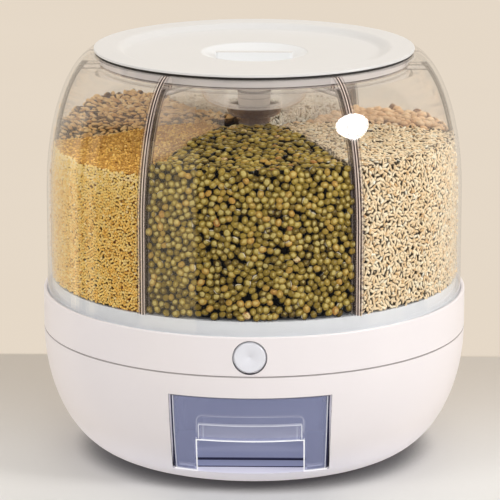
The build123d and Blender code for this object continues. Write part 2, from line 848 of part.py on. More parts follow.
# Grain funnels: one under each mouth, from the front on, with a spout that ends just above the deck
grain_funnels = {}
for number, angle in enumerate(compartments, start=1):
    with BuildPart() as grain_funnel:
        add(funnel_body(angle, funnel_wall))
        add(funnel_body(angle, 0), mode=Mode.SUBTRACT)
    grain_funnels[f"grain_funnel_{number}"] = grain_funnel

# Pairs of ribs inside the dome, one pair for each wall of the partition
with BuildPart() as dome_ribs:
    for angle in dividers:
        for shift in (divider_wall / 2 + fit_gap, -divider_wall / 2 - fit_gap - rib_thickness):
            with BuildSketch(radial_plane(angle, shift)):
                with Locations((neck_radius, tray_rim_top + fit_gap)):
                    Rectangle(
                        shell_radius - neck_radius,
                        neck_bottom + dome_wall / 2 - tray_rim_top - fit_gap,
                        align=(Align.MIN, Align.MIN),
                    )
            extrude(amount=rib_thickness)
    add(rib_roots, mode=Mode.INTERSECT)
    add(rib_crests, mode=Mode.SUBTRACT)

# Dome: clear shell with a thick neck and the guide ribs
with BuildPart() as hopper_shell:
    add(dome_skin)
    add(dome_space, mode=Mode.SUBTRACT)
    with BuildSketch(Plane.XY.offset(neck_bottom)):
        Circle(neck_radius)
    extrude(amount=neck_top - neck_bottom, mode=Mode.SUBTRACT)
    add(dome_ribs.part)

# Partition: six clear walls on a hub tube, shaped to the inside of the dome
with BuildPart() as partition:
    for angle in dividers:
        with BuildSketch(radial_plane(angle)):
            with Locations((hub_radius - hub_wall / 2, tray_rim_top)):
                Rectangle(shell_radius, hub_top - tray_rim_top, align=(Align.MIN, Align.MIN))
            with Locations((cup_relief_radius, tray_rim_top)):
                Rectangle(shell_radius, neck_top - tray_rim_top, align=(Align.MIN, Align.MIN))
        extrude(amount=divider_wall / 2, both=True)
    add(partition_room, mode=Mode.INTERSECT)
    with BuildSketch(Plane.XY.offset(tray_rim_top)):
        Circle(hub_radius)
        Circle(hub_radius - hub_wall, mode=Mode.SUBTRACT)
    extrude(amount=hub_top - tray_rim_top)

# Hub cap: plug that closes the hub tube
with BuildPart() as hub_cap:
    with BuildSketch(Plane.XY.offset(hub_top)):
        Circle(hub_radius)
    extrude(amount=hub_cap_thickness)
    with BuildSketch(Plane.XY.offset(hub_top)):
        Circle(hub_radius - hub_wall - fit_gap)
        Circle(hub_radius - hub_wall - fit_gap - hub_cap_wall, mode=Mode.SUBTRACT)
    extrude(amount=-hub_cap_plug)

# Lid: disc with a sunken middle, a round dish and a bar across it to pinch
with BuildPart() as lid_disc:
    dish_outer = dish_sphere + grip_dish_wall
    dish_outer_radius = sqrt(dish_outer**2 - (dish_centre - lid_sunk_bottom) ** 2)
    with BuildSketch(Plane.XZ):
        with BuildLine():
            top_dish = RadiusArc(
                (0, dish_centre - dish_sphere), (grip_dish_radius, lid_sunk_top), -dish_sphere
            )
            top_flat = Line(top_dish @ 1, (lid_sunk_radius, lid_sunk_top))
            middle = (lid_sunk_radius + lid_rim_inner_radius) / 2
            top_rise = Bezier(
                top_flat @ 1, (middle, lid_sunk_top), (middle, lid_top), (lid_rim_inner_radius, lid_top)
            )
            edge = Polyline(
                top_rise @ 1,
                (lid_radius, lid_top),
                (lid_radius, lid_underside),
                (lid_rim_inner_radius + lid_plate, lid_underside),
            )
            under_rise = Bezier(
                edge @ 1,
                (middle + lid_plate, lid_underside),
                (middle + lid_plate, lid_sunk_bottom),
                (lid_sunk_radius + lid_plate, lid_sunk_bottom),
            )
            under_flat = Line(under_rise @ 1, (dish_outer_radius, lid_sunk_bottom))
            under_dish = RadiusArc(under_flat @ 1, (0, dish_centre - dish_outer), dish_outer)
            Line(under_dish @ 1, top_dish @ 0)
        make_face()
    revolve(axis=Axis.Z)
    fillet(lid_disc.edges().group_by(Axis.Z)[-1].sort_by(SortBy.RADIUS)[-1], lid_edge_round)
    with BuildSketch(Plane.XY.offset(lid_sunk_top)):
        RectangleRounded(grip_bar_length, grip_bar_width, grip_bar_width / 2 - grip_bar_round / 2)
    extrude(amount=-grip_dish_depth - grip_dish_wall / 2)
    with BuildSketch(Plane.XY.offset(cup_socket_bottom)):
        Circle(cup_radius + fit_gap + cup_socket_wall)
        Circle(cup_radius + fit_gap, mode=Mode.SUBTRACT)
    extrude(amount=lid_sunk_bottom - cup_socket_bottom)

# Skirt under the lid, its seal and the gasket on the neck
with BuildPart() as lid_skirt:
    with BuildSketch(Plane.XY.offset(skirt_bottom)):
        Circle(skirt_outer)
        Circle(skirt_outer - skirt_wall, mode=Mode.SUBTRACT)
    extrude(amount=lid_underside - skirt_bottom)

with BuildPart() as lid_seal:
    with BuildSketch(Plane.XZ):
        with BuildLine():
            lip = ThreePointArc(
                (skirt_outer, seal_middle - seal_height / 2),
                (skirt_outer + seal_bulge, seal_middle),
                (skirt_outer, seal_middle + seal_height / 2),
            )
            Line(lip @ 1, lip @ 0)
        make_face()
    revolve(axis=Axis.Z)

with BuildPart() as lid_gasket:
    with BuildSketch(Plane.XY.offset(neck_top)):
        Circle(lid_radius - gasket_inset)
        Circle(skirt_outer + fit_gap, mode=Mode.SUBTRACT)
    extrude(amount=lid_underside - neck_top)

# Desiccant cup: clear stepped cup in the lid's socket
with BuildPart() as desiccant_cup:
    with BuildSketch(Plane.XZ):
        with BuildLine():
            outside = FilletPolyline(
                (cup_radius, cup_top),
                (cup_radius, cup_floor),
                (cup_step_radius, cup_floor),
                (cup_step_radius, cup_step_floor),
                (cup_tip_radius, cup_step_floor),
                (cup_tip_radius, cup_tip_floor),
                (0, cup_tip_floor),
                radius=[cup_round, cup_inner_round, cup_step_round, cup_inner_round, cup_tip_round],
            )
            inside = FilletPolyline(
                (0, cup_tip_floor + cup_wall),
                (cup_tip_radius - cup_wall, cup_tip_floor + cup_wall),
                (cup_tip_radius - cup_wall, cup_step_floor + cup_wall),
                (cup_step_radius - cup_wall, cup_step_floor + cup_wall),
                (cup_step_radius - cup_wall, cup_floor + cup_wall),
                (cup_radius - cup_wall, cup_floor + cup_wall),
                (cup_radius - cup_wall, cup_top),
                radius=[
                    cup_tip_round - cup_wall,
                    cup_inner_round,
                    cup_step_round - cup_wall,
                    cup_inner_round + cup_wall,
                    cup_round - cup_wall,
                ],
            )
            Line(outside @ 1, inside @ 0)
            Line(inside @ 1, outside @ 0)
        make_face()
    revolve(axis=Axis.Z)

# Desiccant cartridge: tapered pot that stands on the cup's lower step
with BuildPart() as desiccant_cartridge:
    with BuildSketch(Plane.XY.offset(cup_step_floor + cup_wall)):
        Circle(cartridge_foot_radius)
    with BuildSketch(Plane.XY.offset(cartridge_top)):
        Circle(cartridge_top_radius)
    loft()
    fillet(desiccant_cartridge.edges().group_by(Axis.Z)[-1], cartridge_round)

pieces = {
    "base_bowl": base_bowl,
    "base_ring": base_ring,
    "deck_plate": deck_plate,
    "rubber_feet": rubber_feet,
    "base_screws": base_screws,
    "drawer_bay": drawer_bay,
    "drawer_box": drawer_box,
    "gate_guide": gate_guide,
    "guide_screws": guide_screws,
    "gate_plate": gate_plate,
    "return_spring": return_spring,
    "button_guide": button_guide,
    "button_cap": button_cap,
    "bearing_balls": bearing_balls,
    "ball_cage": ball_cage,
    "axle_stud": axle_stud,
    "hub_washer": hub_washer,
    "hub_screw": hub_screw,
    "hopper_floor": hopper_floor,
    **grain_funnels,
    "hopper_shell": hopper_shell,
    "partition": partition,
    "hub_cap": hub_cap,
    "lid_disc": lid_disc,
    "lid_skirt": lid_skirt,
    "lid_seal": lid_seal,
    "lid_gasket": lid_gasket,
    "desiccant_cup": desiccant_cup,
    "desiccant_cartridge": desiccant_cartridge,
}

os.makedirs("parts", exist_ok=True)
for name, piece in pieces.items():
    piece.part.label = name
    export_step(piece.part, "parts/" + name + ".step")
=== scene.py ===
from math import atan2, cos, hypot, pi, radians, sin, sqrt

import bmesh
import bpy
import numpy as np
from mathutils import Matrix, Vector
from mathutils.kdtree import KDTree


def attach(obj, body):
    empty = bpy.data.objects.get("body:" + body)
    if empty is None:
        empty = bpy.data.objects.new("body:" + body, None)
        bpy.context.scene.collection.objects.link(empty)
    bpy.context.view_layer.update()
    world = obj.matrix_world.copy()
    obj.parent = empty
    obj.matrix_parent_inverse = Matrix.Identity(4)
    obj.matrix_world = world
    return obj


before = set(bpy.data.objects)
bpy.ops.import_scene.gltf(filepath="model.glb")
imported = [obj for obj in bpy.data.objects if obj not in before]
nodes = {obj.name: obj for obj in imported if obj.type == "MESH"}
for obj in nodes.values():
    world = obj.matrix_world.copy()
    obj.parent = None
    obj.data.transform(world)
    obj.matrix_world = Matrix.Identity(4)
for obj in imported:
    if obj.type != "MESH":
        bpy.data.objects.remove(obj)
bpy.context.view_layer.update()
scene = bpy.context.scene

# camera
camera = {
    "distance": 2.0,         # from the turning axis
    "height": 0.615,
    "pitch": 0.240,          # radians below the horizon
    "turn": 0.020,           # radians round the object to the right
    "focalPixels": 3270.0,   # at a picture 500 pixels wide
    "axisOffset": 4.2,       # pixels that the axis stands right of the middle
}
pictureWidth = 500
sensorWidth = 36.0           # mm

lens = bpy.data.cameras.new("photoCamera")
lens.sensor_width = sensorWidth
lens.lens = camera["focalPixels"] / pictureWidth * sensorWidth
lens.shift_x = -camera["axisOffset"] / pictureWidth
lens.clip_end = 50           # metres
photoCamera = bpy.data.objects.new("photoCamera", lens)
photoCamera.location = (
    camera["distance"] * sin(camera["turn"]),
    -camera["distance"] * cos(camera["turn"]),
    camera["height"],
)
photoCamera.rotation_euler = (pi / 2 - camera["pitch"], 0, camera["turn"])
scene.collection.objects.link(photoCamera)
scene.camera = photoCamera
print("camera placed")


# materials
class Value:
    # wraps a socket, so that sums and products on it add Math nodes

    def __init__(self, paint, socket):
        self.paint = paint
        self.socket = socket

    def math(self, operation, *values):
        return self.paint.node("Math", {"operation": operation}, dict(enumerate(values)))

    def __add__(self, other):
        return self.math("ADD", self, other)

    __radd__ = __add__

    def __sub__(self, other):
        return self.math("SUBTRACT", self, other)

    def __rsub__(self, other):
        return self.math("SUBTRACT", other, self)

    def __mul__(self, other):
        return self.math("MULTIPLY", self, other)

    __rmul__ = __mul__

    def power(self, exponent):
        return self.math("POWER", self, exponent)

    def most(self, other):
        return self.math("MAXIMUM", self, other)

    def size(self):
        return self.math("ABSOLUTE", self)

    def above(self, edge, softness):
        # 0 below the edge, 1 above it, with a soft step between
        return self.paint.node(
            "MapRange",
            {"interpolation_type": "SMOOTHSTEP"},
            {"Value": self, "From Min": edge - softness, "From Max": edge + softness},
        )

    def between(self, low, high, softness):
        return self.above(low, softness) * (1 - self.above(high, softness))


class Paint:
    # one material, built by adding nodes

    def __init__(self, name):
        self.material = bpy.data.materials.new(name)
        self.material.use_nodes = True
        self.tree = self.material.node_tree
        self.tree.nodes.clear()
        self.place = self.node("TexCoord", out="Object")

    def node(self, kind, settings=None, values=None, out=0):
        made = self.tree.nodes.new("ShaderNode" + kind)
        for name, setting in (settings or {}).items():
            if name == "stops":
                ramp = made.color_ramp
                while len(ramp.elements) < len(setting):
                    ramp.elements.new(0.5)
                for stop, (at, color) in zip(ramp.elements, setting):
                    stop.position = at
                    stop.color = color
            else:
                setattr(made, name, setting)
        for name, value in (values or {}).items():
            socket = made.inputs[name]
            if isinstance(value, Value):
                self.tree.links.new(value.socket, socket)
            else:
                socket.default_value = value
        return Value(self, made.outputs[out]) if len(made.outputs) else made

    def noise(self, scale, detail=2.0, rough=0.5, vector=None):
        return self.node(
            "TexNoise",
            None,
            {"Vector": vector or self.place, "Scale": scale, "Detail": detail, "Roughness": rough},
        )

    def mix(self, factor, first, second, blend="MIX"):
        return self.node(
            "Mix",
            {"data_type": "RGBA", "blend_type": blend, "clamp_factor": True},
            {0: factor, 6: first, 7: second},
            out=2,
        )

    def axes(self, scale=1.0):
        # object coordinates, in metres if the scale is 1
        split = self.node("SeparateXYZ", None, {"Vector": self.place}).socket.node
        return tuple(Value(self, split.outputs[axis]) * scale for axis in "XYZ")

    def bump(self, height, distance, strength=1.0):
        return self.node("Bump", None, {"Height": height, "Distance": distance, "Strength": strength})

    def principled(self, **values):
        named = {name.replace("_", " "): value for name, value in values.items()}
        return self.node("BsdfPrincipled", None, named)

    def finish(self, surface):
        self.node("OutputMaterial", None, {"Surface": surface})
        return self.material


def rgb(red, green, blue, alpha=1.0):
    # picture values from 0 to 255 as linear colour
    def linear(value):
        value = value / 255
        return value / 12.92 if value <= 0.04045 else ((value + 0.055) / 1.055) ** 2.4

    return (linear(red), linear(green), linear(blue), alpha)


def scaled(color, factor):
    return tuple(part * factor for part in color[:3]) + (1.0,)


def lengthOf(x, y):
    # distance from the origin
    return (x * x + y * y).power(0.5)


black = (0, 0, 0, 1)
millimetres = 1000           # scale for axes in mm
plasticIor = 1.49
fullGlow = 0.5               # the most that the glow of a moulded plastic can be
mouldedSkin = {
    # noise scales of the clouds, the grain and the waves, tones of the first two, and depth of the waves
    "cloudScale": 11.0, "speckScale": 2600.0, "waveScale": 24.0,
    "cloudTone": 0.965, "speckTone": 0.80, "waveDepth": 0.00008, "coatRough": 0.12,
}

mouldedLook = {
    # grain: depth of the fine grain in metres
    # glow: painted light, the share of its colour that the plastic gives off as emission in any light, which
    # softens the shading
    "base": {"color": rgb(239, 232, 232), "rough": 0.34, "grain": 0.000012, "coat": 0.10, "glow": 0.14},
    "lid": {"color": rgb(216, 214, 211), "rough": 0.34, "grain": 0.000010, "coat": 0.05, "glow": 0.28},
    "tray": {"color": rgb(230, 232, 236), "rough": 0.42, "grain": 0.000012, "coat": 0.0, "glow": 0.05},
    "inner": {"color": rgb(232, 230, 226), "rough": 0.50, "grain": 0.000020, "coat": 0.0, "glow": 0.0},
    "button": {"color": rgb(232, 232, 238), "rough": 0.28, "grain": 0.000008, "coat": 0.10, "glow": 0.06},
}

baseDetail = {
    # mm: painted shade darkens the inside of the base's opening and the gap round its button, and painted
    # light makes its foot paler and glow more, as if lit from the counter
    "seamLow": 79.6, "seamHigh": 80.2, "seamCover": 0.6, "seam": rgb(104, 94, 92),
    "openingBottom": 13.0, "openingTop": 66.8, "openingHalf": 47.5, "flare": 0.028,
    "inside": rgb(34, 32, 40),
    "buttonHeight": 92.0, "buttonHole": 10.42, "gap": rgb(74, 68, 74), "frontFrom": -60.0,
    "footTop": 36.0, "foot": rgb(230, 228, 238), "paintedFootLight": 0.20,
}
# painted light: where the floor of the lid's round dish lies, in mm, and the paler colour it is painted
dishPaintedLight = {"radius": 33.6, "top": 252.1, "color": rgb(224, 224, 223)}


def baseMarks(paint, tone):
    # tone of the base with its seam, painted light on its foot and painted shade in its opening and button
    # gap, and how much more its foot glows as painted light
    x, y, z = paint.axes(millimetres)
    mark = baseDetail
    seam = z.between(mark["seamLow"], mark["seamHigh"], 0.15) * mark["seamCover"]
    tone = paint.mix(seam, tone, mark["seam"])
    # painted light: towards the bottom the foot is painted paler and lavender, as if lit from the counter
    foot = 1 - z.above(mark["footTop"] / 2, mark["footTop"] / 2)
    tone = paint.mix(foot, tone, mark["foot"])
    # painted shade inside the drawer opening, at the front of the base
    front = 1 - y.above(mark["frontFrom"], 1.0)
    side = x.size() - (z - mark["openingBottom"]) * mark["flare"]
    inside = (1 - side.above(mark["openingHalf"], 0.06)) * front
    inside = inside * z.between(mark["openingBottom"], mark["openingTop"], 0.1)
    tone = paint.mix(inside, tone, mark["inside"])
    # painted shade in the gap round the button
    holeShade = (1 - lengthOf(x, z - mark["buttonHeight"]).above(mark["buttonHole"], 0.06)) * front
    return paint.mix(holeShade, tone, mark["gap"]), foot * mark["paintedFootLight"]


def lidMarks(paint, tone):
    # tone of the lid with painted light on the floor of its round dish, which is painted paler but glows no
    # more than the rest
    x, y, z = paint.axes(millimetres)
    dish = (1 - lengthOf(x, y).above(dishPaintedLight["radius"], 0.3)) * (1 - z.above(dishPaintedLight["top"], 0.2))
    return paint.mix(dish, tone, dishPaintedLight["color"]), 0.0


def mouldedPlastic(name, look, marks=None):
    # satin moulded plastic: faint clouding, sparkle-fine grain and slow waves from shrinkage, with a painted
    # glow that softens its shading
    paint = Paint(name)
    skin = mouldedSkin
    cloud = paint.noise(skin["cloudScale"], 3.0, 0.6)
    speck = paint.noise(skin["speckScale"], 1.0, 0.5)
    wave = paint.noise(skin["waveScale"], 1.0, 0.4)
    tone = paint.mix(cloud.above(0.55, 0.25) * 0.6, look["color"], scaled(look["color"], skin["cloudTone"]))
    tone = paint.mix(speck.above(0.70, 0.06) * 0.10, tone, scaled(look["color"], skin["speckTone"]))
    # painted light: glow is emission of part of the plastic's colour, and lift is more of it where the marks
    # paint light
    glow = look["glow"]
    lift = 0.0
    if marks:
        tone, lift = marks(paint, tone)
    shade = paint.principled(
        Base_Color=paint.mix(glow * 0.75, tone, black),
        Roughness=look["rough"] - 0.03 + 0.06 * cloud + 0.04 * (speck - 0.5),
        Normal=paint.bump(speck * look["grain"] + wave * skin["waveDepth"], 1.0),
        IOR=plasticIor,
        Coat_Weight=look["coat"],
        Coat_Roughness=skin["coatRough"],
        Emission_Color=paint.mix(1 - (lift + glow) * (1 / fullGlow), tone, black),
        Emission_Strength=fullGlow,
    )
    return paint.finish(shade)


clearLook = {
    # tint: colour of one wall, haze: share of film everywhere, edge: more film on a wall seen from its side
    # glow: painted light, emission of the film's colour that keeps the film light where little light reaches
    # it
    "dome": {
        "tint": (0.992, 0.991, 0.986, 1), "haze": 0.0015, "edge": 0.03, "rough": 0.015, "glow": 0.15,
        "film": rgb(226, 221, 214),
        "outline": rgb(150, 128, 114), "outlineFrom": 0.965, "outlineCover": 0.30,
    },
    "wall": {
        "tint": (0.985, 0.985, 0.980, 1), "haze": 0.012, "edge": 0.04, "rough": 0.03, "glow": 0.30,
        "film": rgb(226, 214, 206), "hazeAbove": 0.205, "topHaze": 0.10,
        # painted light and shade along the top of each divider: a light strip with a dark line on either
        # side, as the thick edge bends the light
        "stripLow": 0.2416, "stripHigh": 0.2444, "stripReach": 0.068, "stripCover": 0.35,
        "strip": rgb(216, 208, 204), "rimHalf": 0.0004, "rimCover": 0.55, "rim": rgb(70, 58, 54),
    },
    "cup": {
        "tint": (0.985, 0.985, 0.980, 1), "haze": 0.06, "edge": 0.80, "rough": 0.02, "glow": 0.35,
        "film": rgb(240, 232, 228),
        "outline": rgb(120, 104, 98), "outlineFrom": 0.84, "outlineCover": 0.75,
        # its foot is in the shade
        "shadeBelow": 0.2188, "shadeCover": 0.6, "shade": rgb(92, 74, 66),
    },
    "drawer": {
        "tint": (0.90, 0.90, 0.93, 1), "haze": 0.36, "edge": 0.20, "rough": 0.06, "glow": 0.45,
        "film": rgb(132, 136, 162),
    },
}
headOnGloss = 0.034          # share of light that clear plastic mirrors head on
halfSector = radians(30)     # from a divider to the middle of a compartment
dividerLines = {
    # painted light and shade: how a divider's edge and its ribs look through the dome as the thick plastic
    # bends the light; mm from the divider's middle, and how dense
    "edge": 0.36, "gap": 1.45, "rib": 2.4, "fringe": 3.3,
    "edgeCover": 0.85, "gapCover": 0.86, "ribCover": 0.34, "fringeCover": 0.40,
    "light": rgb(226, 206, 194), "dark": rgb(44, 30, 24),
    "bottom": 0.1130,        # metres: where the lines start
}
neckBand = {
    # painted light and shade inside the dome's thick neck: a pale ring, with a dark line under it and a
    # brownish foot line
    "reach": 0.0978, "bottom": 0.2482, "line": 0.0009, "foot": 0.2466,
    "cover": 0.66, "lineCover": 0.8, "footCover": 0.6,
    "light": rgb(214, 206, 203), "dark": rgb(84, 66, 58), "footColor": rgb(150, 132, 122),
}


def domeMarks(paint):
    # how dense the film is on the painted light and shade lines of the dividers and the neck, and its colour
    x, y, z = paint.axes()
    around = y.math("ARCTAN2", y, x)
    around = around.math("PINGPONG", around, halfSector)
    out = lengthOf(x, y)
    away = out * around.math("SINE", around) * millimetres
    line = dividerLines
    sway = paint.noise(55.0, 2.0, 0.5, paint.node("CombineXYZ", None, {"Z": z, "X": around * 0.4}))
    edge = 1 - away.above(line["edge"], 0.15)
    gap = away.between(line["edge"], line["gap"], 0.15)
    rib = away.between(line["gap"], line["rib"], 0.2)
    fringe = away.between(line["rib"], line["fringe"], 0.2)
    dense = edge * line["edgeCover"] + gap * line["gapCover"]
    dense = dense + rib * line["ribCover"] + fringe * line["fringeCover"]
    dense = dense * (0.70 + 0.6 * sway) * z.above(line["bottom"], 0.0003)
    neck = neckBand
    inner = 1 - out.above(neck["reach"], 0.0002)
    lineBottom = neck["bottom"] - neck["line"]
    band = inner * z.above(neck["bottom"], 0.0001)
    rim = inner * z.between(lineBottom, neck["bottom"], 0.0001)
    foot = inner * z.between(neck["foot"], lineBottom, 0.0001)
    # painted light on each divider's edge and ribs, painted shade in the gaps and fringes beside them, then
    # the neck's pale ring, dark line and foot
    color = paint.mix(gap + fringe, line["light"], line["dark"])
    color = paint.mix(dense.above(0.12, 0.05), clearLook["dome"]["film"], color)
    color = paint.mix(band, color, neck["light"])
    color = paint.mix(rim, color, neck["dark"])
    color = paint.mix(foot, color, neck["footColor"])
    dense = dense.most(band * neck["cover"]).most(rim * neck["lineCover"]).most(foot * neck["footCover"])
    return dense, color


def wallMarks(paint):
    # haze on the partition where it stands clear of the grain, and the painted light strips and painted dark
    # lines along its top
    look = clearLook["wall"]
    x, y, z = paint.axes()
    outer = lengthOf(x, y).above(look["stripReach"], 0.003)
    low, high, half = look["stripLow"], look["stripHigh"], look["rimHalf"]
    strip = z.between(low, high, 0.0002) * outer
    rim = (z.between(low - half, low + half, 0.0002) + z.between(high - half, high + half, 0.0002)) * outer
    dense = z.above(look["hazeAbove"], 0.004) * look["topHaze"]
    dense = dense.most(strip * look["stripCover"]).most(rim * look["rimCover"])
    return dense, paint.mix(rim, paint.mix(strip, look["film"], look["strip"]), look["rim"])


def cupMarks(paint):
    # foot of the desiccant cup, which stands in the shade between the heaps
    look = clearLook["cup"]
    x, y, z = paint.axes()
    low = 1 - z.above(look["shadeBelow"], 0.0012)
    return low * look["shadeCover"], paint.mix(low, look["film"], look["shade"])


drawerLines = {
    # mm: painted highlights on the drawer's corners and edges, painted shade on its side rims and in its
    # pocket's corners, and a paler painted roof over the pocket; its front follows the bowl, an ellipse
    "bowlCore": 84.0, "bowlSwell": 48.5, "bowlTop": 80.0, "bowlDepth": 78.4, "skin": 3.2,
    "panelHalf": 46.2, "panelBottom": 13.1, "rimWidth": 0.9, "borderWidth": 1.6,
    "notchHalf": 31.9, "notchTop": 37.3, "lineWidth": 0.9,
    "shelf": 48.5, "shelfHalf": 31.0, "shelfWidth": 0.4, "sideWidth": 0.35, "sideCover": 0.6,
    "arch": 54.6, "archHalf": 32.2, "archRound": 4.0, "archStart": 42.5,
    "roof": 38.9, "roofThick": 1.5, "pocketHalf": 34.2, "pocketBack": -80.2, "step": -94.2, "floor": 14.0,
    "ledge": -95.0, "ledgeHalf": 32.4,
    "shelfCover": 0.62, "archCover": 0.30, "lineCover": 0.85, "behindCover": 0.85, "rimCover": 0.9,
    "light": rgb(255, 255, 255), "dark": rgb(34, 34, 62), "paintedRoofLight": rgb(206, 207, 213),
    "lip": rgb(208, 211, 230), "inside": rgb(140, 144, 168),
}


def drawerFront(paint, x, y, z):
    # the front panel, the rim at its sides that takes painted shade, and the painted highlight lines of its
    # border, notch, shelf and arch
    line = drawerLines
    across = x.size()
    drop = (line["bowlTop"] - z) * (1 / line["bowlDepth"])
    bowl = (1 - drop * drop).power(0.5) * line["bowlSwell"]
    front = (lengthOf(x, y) - line["bowlCore"] - bowl).above(-line["skin"], 0.1)
    fromSide = across - (line["panelHalf"] + (z - line["panelBottom"]) * baseDetail["flare"])
    rim = fromSide.above(-line["rimWidth"], 0.1)
    border = fromSide.between(-line["borderWidth"], -line["rimWidth"], 0.1) * 0.6
    border = border.most((1 - z.above(line["floor"], 0.2)) * across.above(line["notchHalf"], 0.2))
    notchEdge = line["notchHalf"] + line["lineWidth"]
    above = line["notchTop"] + 1
    notch = across.between(line["notchHalf"], notchEdge, 0.2) * (1 - z.above(above, 0.2))
    over = z.between(line["notchTop"], line["notchTop"] + line["lineWidth"], 0.2)
    over = over * (1 - across.above(notchEdge, 0.2))
    # a shelf over the notch, with two lines at each side
    half, width = line["shelfHalf"], line["sideWidth"]
    tall = z.between(above, line["shelf"], 0.2)
    shelf = across.between(half - width, half + width, 0.15) * tall
    shelf = shelf.most(across.between(half - 3.1, half - 2.6, 0.15) * tall * line["sideCover"])
    top = z.between(line["shelf"] - line["shelfWidth"], line["shelf"] + line["shelfWidth"], 0.15)
    shelf = shelf.most(top * (1 - across.above(half, 0.2)))
    # an arch over the shelf, round at its corners
    corner = line["archRound"]
    right = (across - (line["archHalf"] - corner)).most(0.0)
    up = (z - (line["arch"] - corner)).most(0.0)
    bow = lengthOf(right, up).between(corner - width, corner + width, 0.15) * z.above(line["archStart"], 0.5)
    lines = front * border.most(notch).most(over)
    lines = lines.most(front * shelf * line["shelfCover"]).most(front * bow * line["archCover"])
    return front, rim * front, lines


def drawerMarks(paint):
    # painted highlights on the drawer's clear edges, painted shade on its side rims and in its pocket's
    # corners, and the pocket behind its front
    x, y, z = paint.axes(millimetres)
    line = drawerLines
    front, rim, lines = drawerFront(paint, x, y, z)
    behind = 1 - front
    back, ledge, step = line["pocketBack"], line["ledge"], line["step"]
    pocket = (1 - x.size().above(line["pocketHalf"], 0.2)) * (1 - y.above(back + 2.2, 0.2)) * behind
    roof = pocket * z.between(line["roof"], line["roof"] + line["roofThick"], 0.1)
    # painted light: the pocket's roof is paler near the front, with painted highlights along the roof's
    # edges
    near = roof * (1 - y.above(ledge, 0.2))
    lines = lines.most(roof * y.above(back + 0.9, 0.2) * 0.6)
    lines = lines.most(near * x.size().above(line["ledgeHalf"], 0.2))
    lines = lines.most(roof * y.between(ledge - 0.7, ledge + 1.1, 0.2))
    # painted shade: dark lines at the step of the pocket's floor, at the foot of its back wall and along the
    # panel's side rims
    base = pocket * (1 - z.above(line["floor"], 0.2))
    dark = base * y.between(step - 0.8, step + 0.8, 0.2)
    dark = dark.most(base * y.above(back - 0.9, 0.2)).most(rim)
    lip = base * (1 - y.above(step - 0.8, 0.2))
    color = paint.mix(behind, clearLook["drawer"]["film"], line["inside"])
    for share, key in ((near, "paintedRoofLight"), (lip, "lip"), (dark, "dark"), (lines, "light")):
        color = paint.mix(share, color, line[key])
    dense = (lines * line["lineCover"]).most(behind * line["behindCover"]).most(rim * line["rimCover"])
    return dense, color


bayLook = {
    # mm: half width and top of the bay's floor as it shows under the drawer's pocket; wall is the painted
    # shade of its walls, and glow is painted light on its floor
    "half": 33.4, "top": 20.0, "wall": rgb(50, 48, 58), "glow": 0.45,
}


def bayPaint(name):
    # painted shade on the walls of the drawer's bay and in dark lines at its floor's edges, and its floor as
    # it shows under the drawer's pocket, with a painted glow
    paint = Paint(name)
    cloud = paint.noise(60.0, 3.0, 0.6)
    x, y, z = paint.axes(millimetres)
    back, step = drawerLines["pocketBack"], drawerLines["step"]
    base = (1 - x.size().above(bayLook["half"], 0.2)) * (1 - y.above(back, 0.2))
    base = base * (1 - z.above(bayLook["top"], 0.5))
    # painted shade: dark lines at the step and back of the floor, and dark walls round it
    edges = y.between(step - 0.9, step + 0.9, 0.2).most(y.above(back - 1.2, 0.2))
    tone = paint.mix(y.above(step, 0.3), drawerLines["lip"], drawerLines["inside"])
    tone = paint.mix(edges, tone, drawerLines["dark"])
    tone = paint.mix(base, bayLook["wall"], tone)
    shade = paint.principled(
        Base_Color=tone,
        Roughness=0.5 + 0.1 * cloud,
        Normal=paint.bump(cloud * 0.00004, 1.0),
        # painted light: only the floor glows, with its own colour
        Emission_Color=paint.mix(base, black, tone),
        Emission_Strength=bayLook["glow"],
    )
    return paint.finish(shade)


def clearPlastic(name, look, marks=None, bends=False):
    # see-through plastic: a tinted window with a glossy skin that grows towards the edges; its film gives
    # off painted glow, and its marks and dark outline are painted light and shade
    paint = Paint(name)
    smear = paint.noise(38.0, 4.0, 0.65)
    scratch = paint.noise(420.0, 3.0, 0.7)
    window = paint.node("BsdfTransparent", None, {"Color": look["tint"]})
    facing = paint.node("LayerWeight", None, {"Blend": 0.5}, out="Facing")
    mirrored = headOnGloss + (1 - headOnGloss) * facing.power(5)    # Schlick's rule
    gloss = paint.node(
        "BsdfGlossy",
        None,
        {
            "Color": (1, 1, 1, 1),
            "Roughness": look["rough"] + 0.03 * smear,
            "Normal": paint.bump(smear * 0.00001 + scratch * 0.0000007, 1.0),
        },
    )
    cover = look["haze"] * (0.6 + 0.8 * smear) + look["edge"] * facing.power(4.0)
    film = paint.mix(smear, scaled(look["film"], 0.97), look["film"])
    if marks:
        dense, film = marks(paint)
        cover = cover.most(dense)
    # painted shade: a darker film where the plastic is seen from its side, standing in for the light that
    # its edge bends away
    if "outline" in look:
        outline = facing.above(look["outlineFrom"], 0.04)
        film = paint.mix(outline, film, look["outline"])
        cover = cover.most(outline * look["outlineCover"])
    skin = paint.principled(
        Base_Color=film,
        Roughness=look["rough"] + 0.10 * smear,
        IOR=plasticIor,
        Normal=paint.bump(smear * 0.00006, 1.0),
        # painted light: the film gives off its own colour as emission
        Emission_Color=film,
        Emission_Strength=look["glow"],
    )
    seen = window
    if bends:
        seen = paint.node("BsdfRefraction", None, {"Color": look["tint"], "Roughness": 0.0, "IOR": 1.0})
    body = paint.node("MixShader", None, {0: cover, 1: seen, 2: skin})
    body = paint.node("MixShader", None, {0: mirrored, 1: body, 2: gloss})
    shadow = paint.node("LightPath", out="Is Shadow Ray")
    return paint.finish(paint.node("MixShader", None, {0: shadow, 1: body, 2: window}))


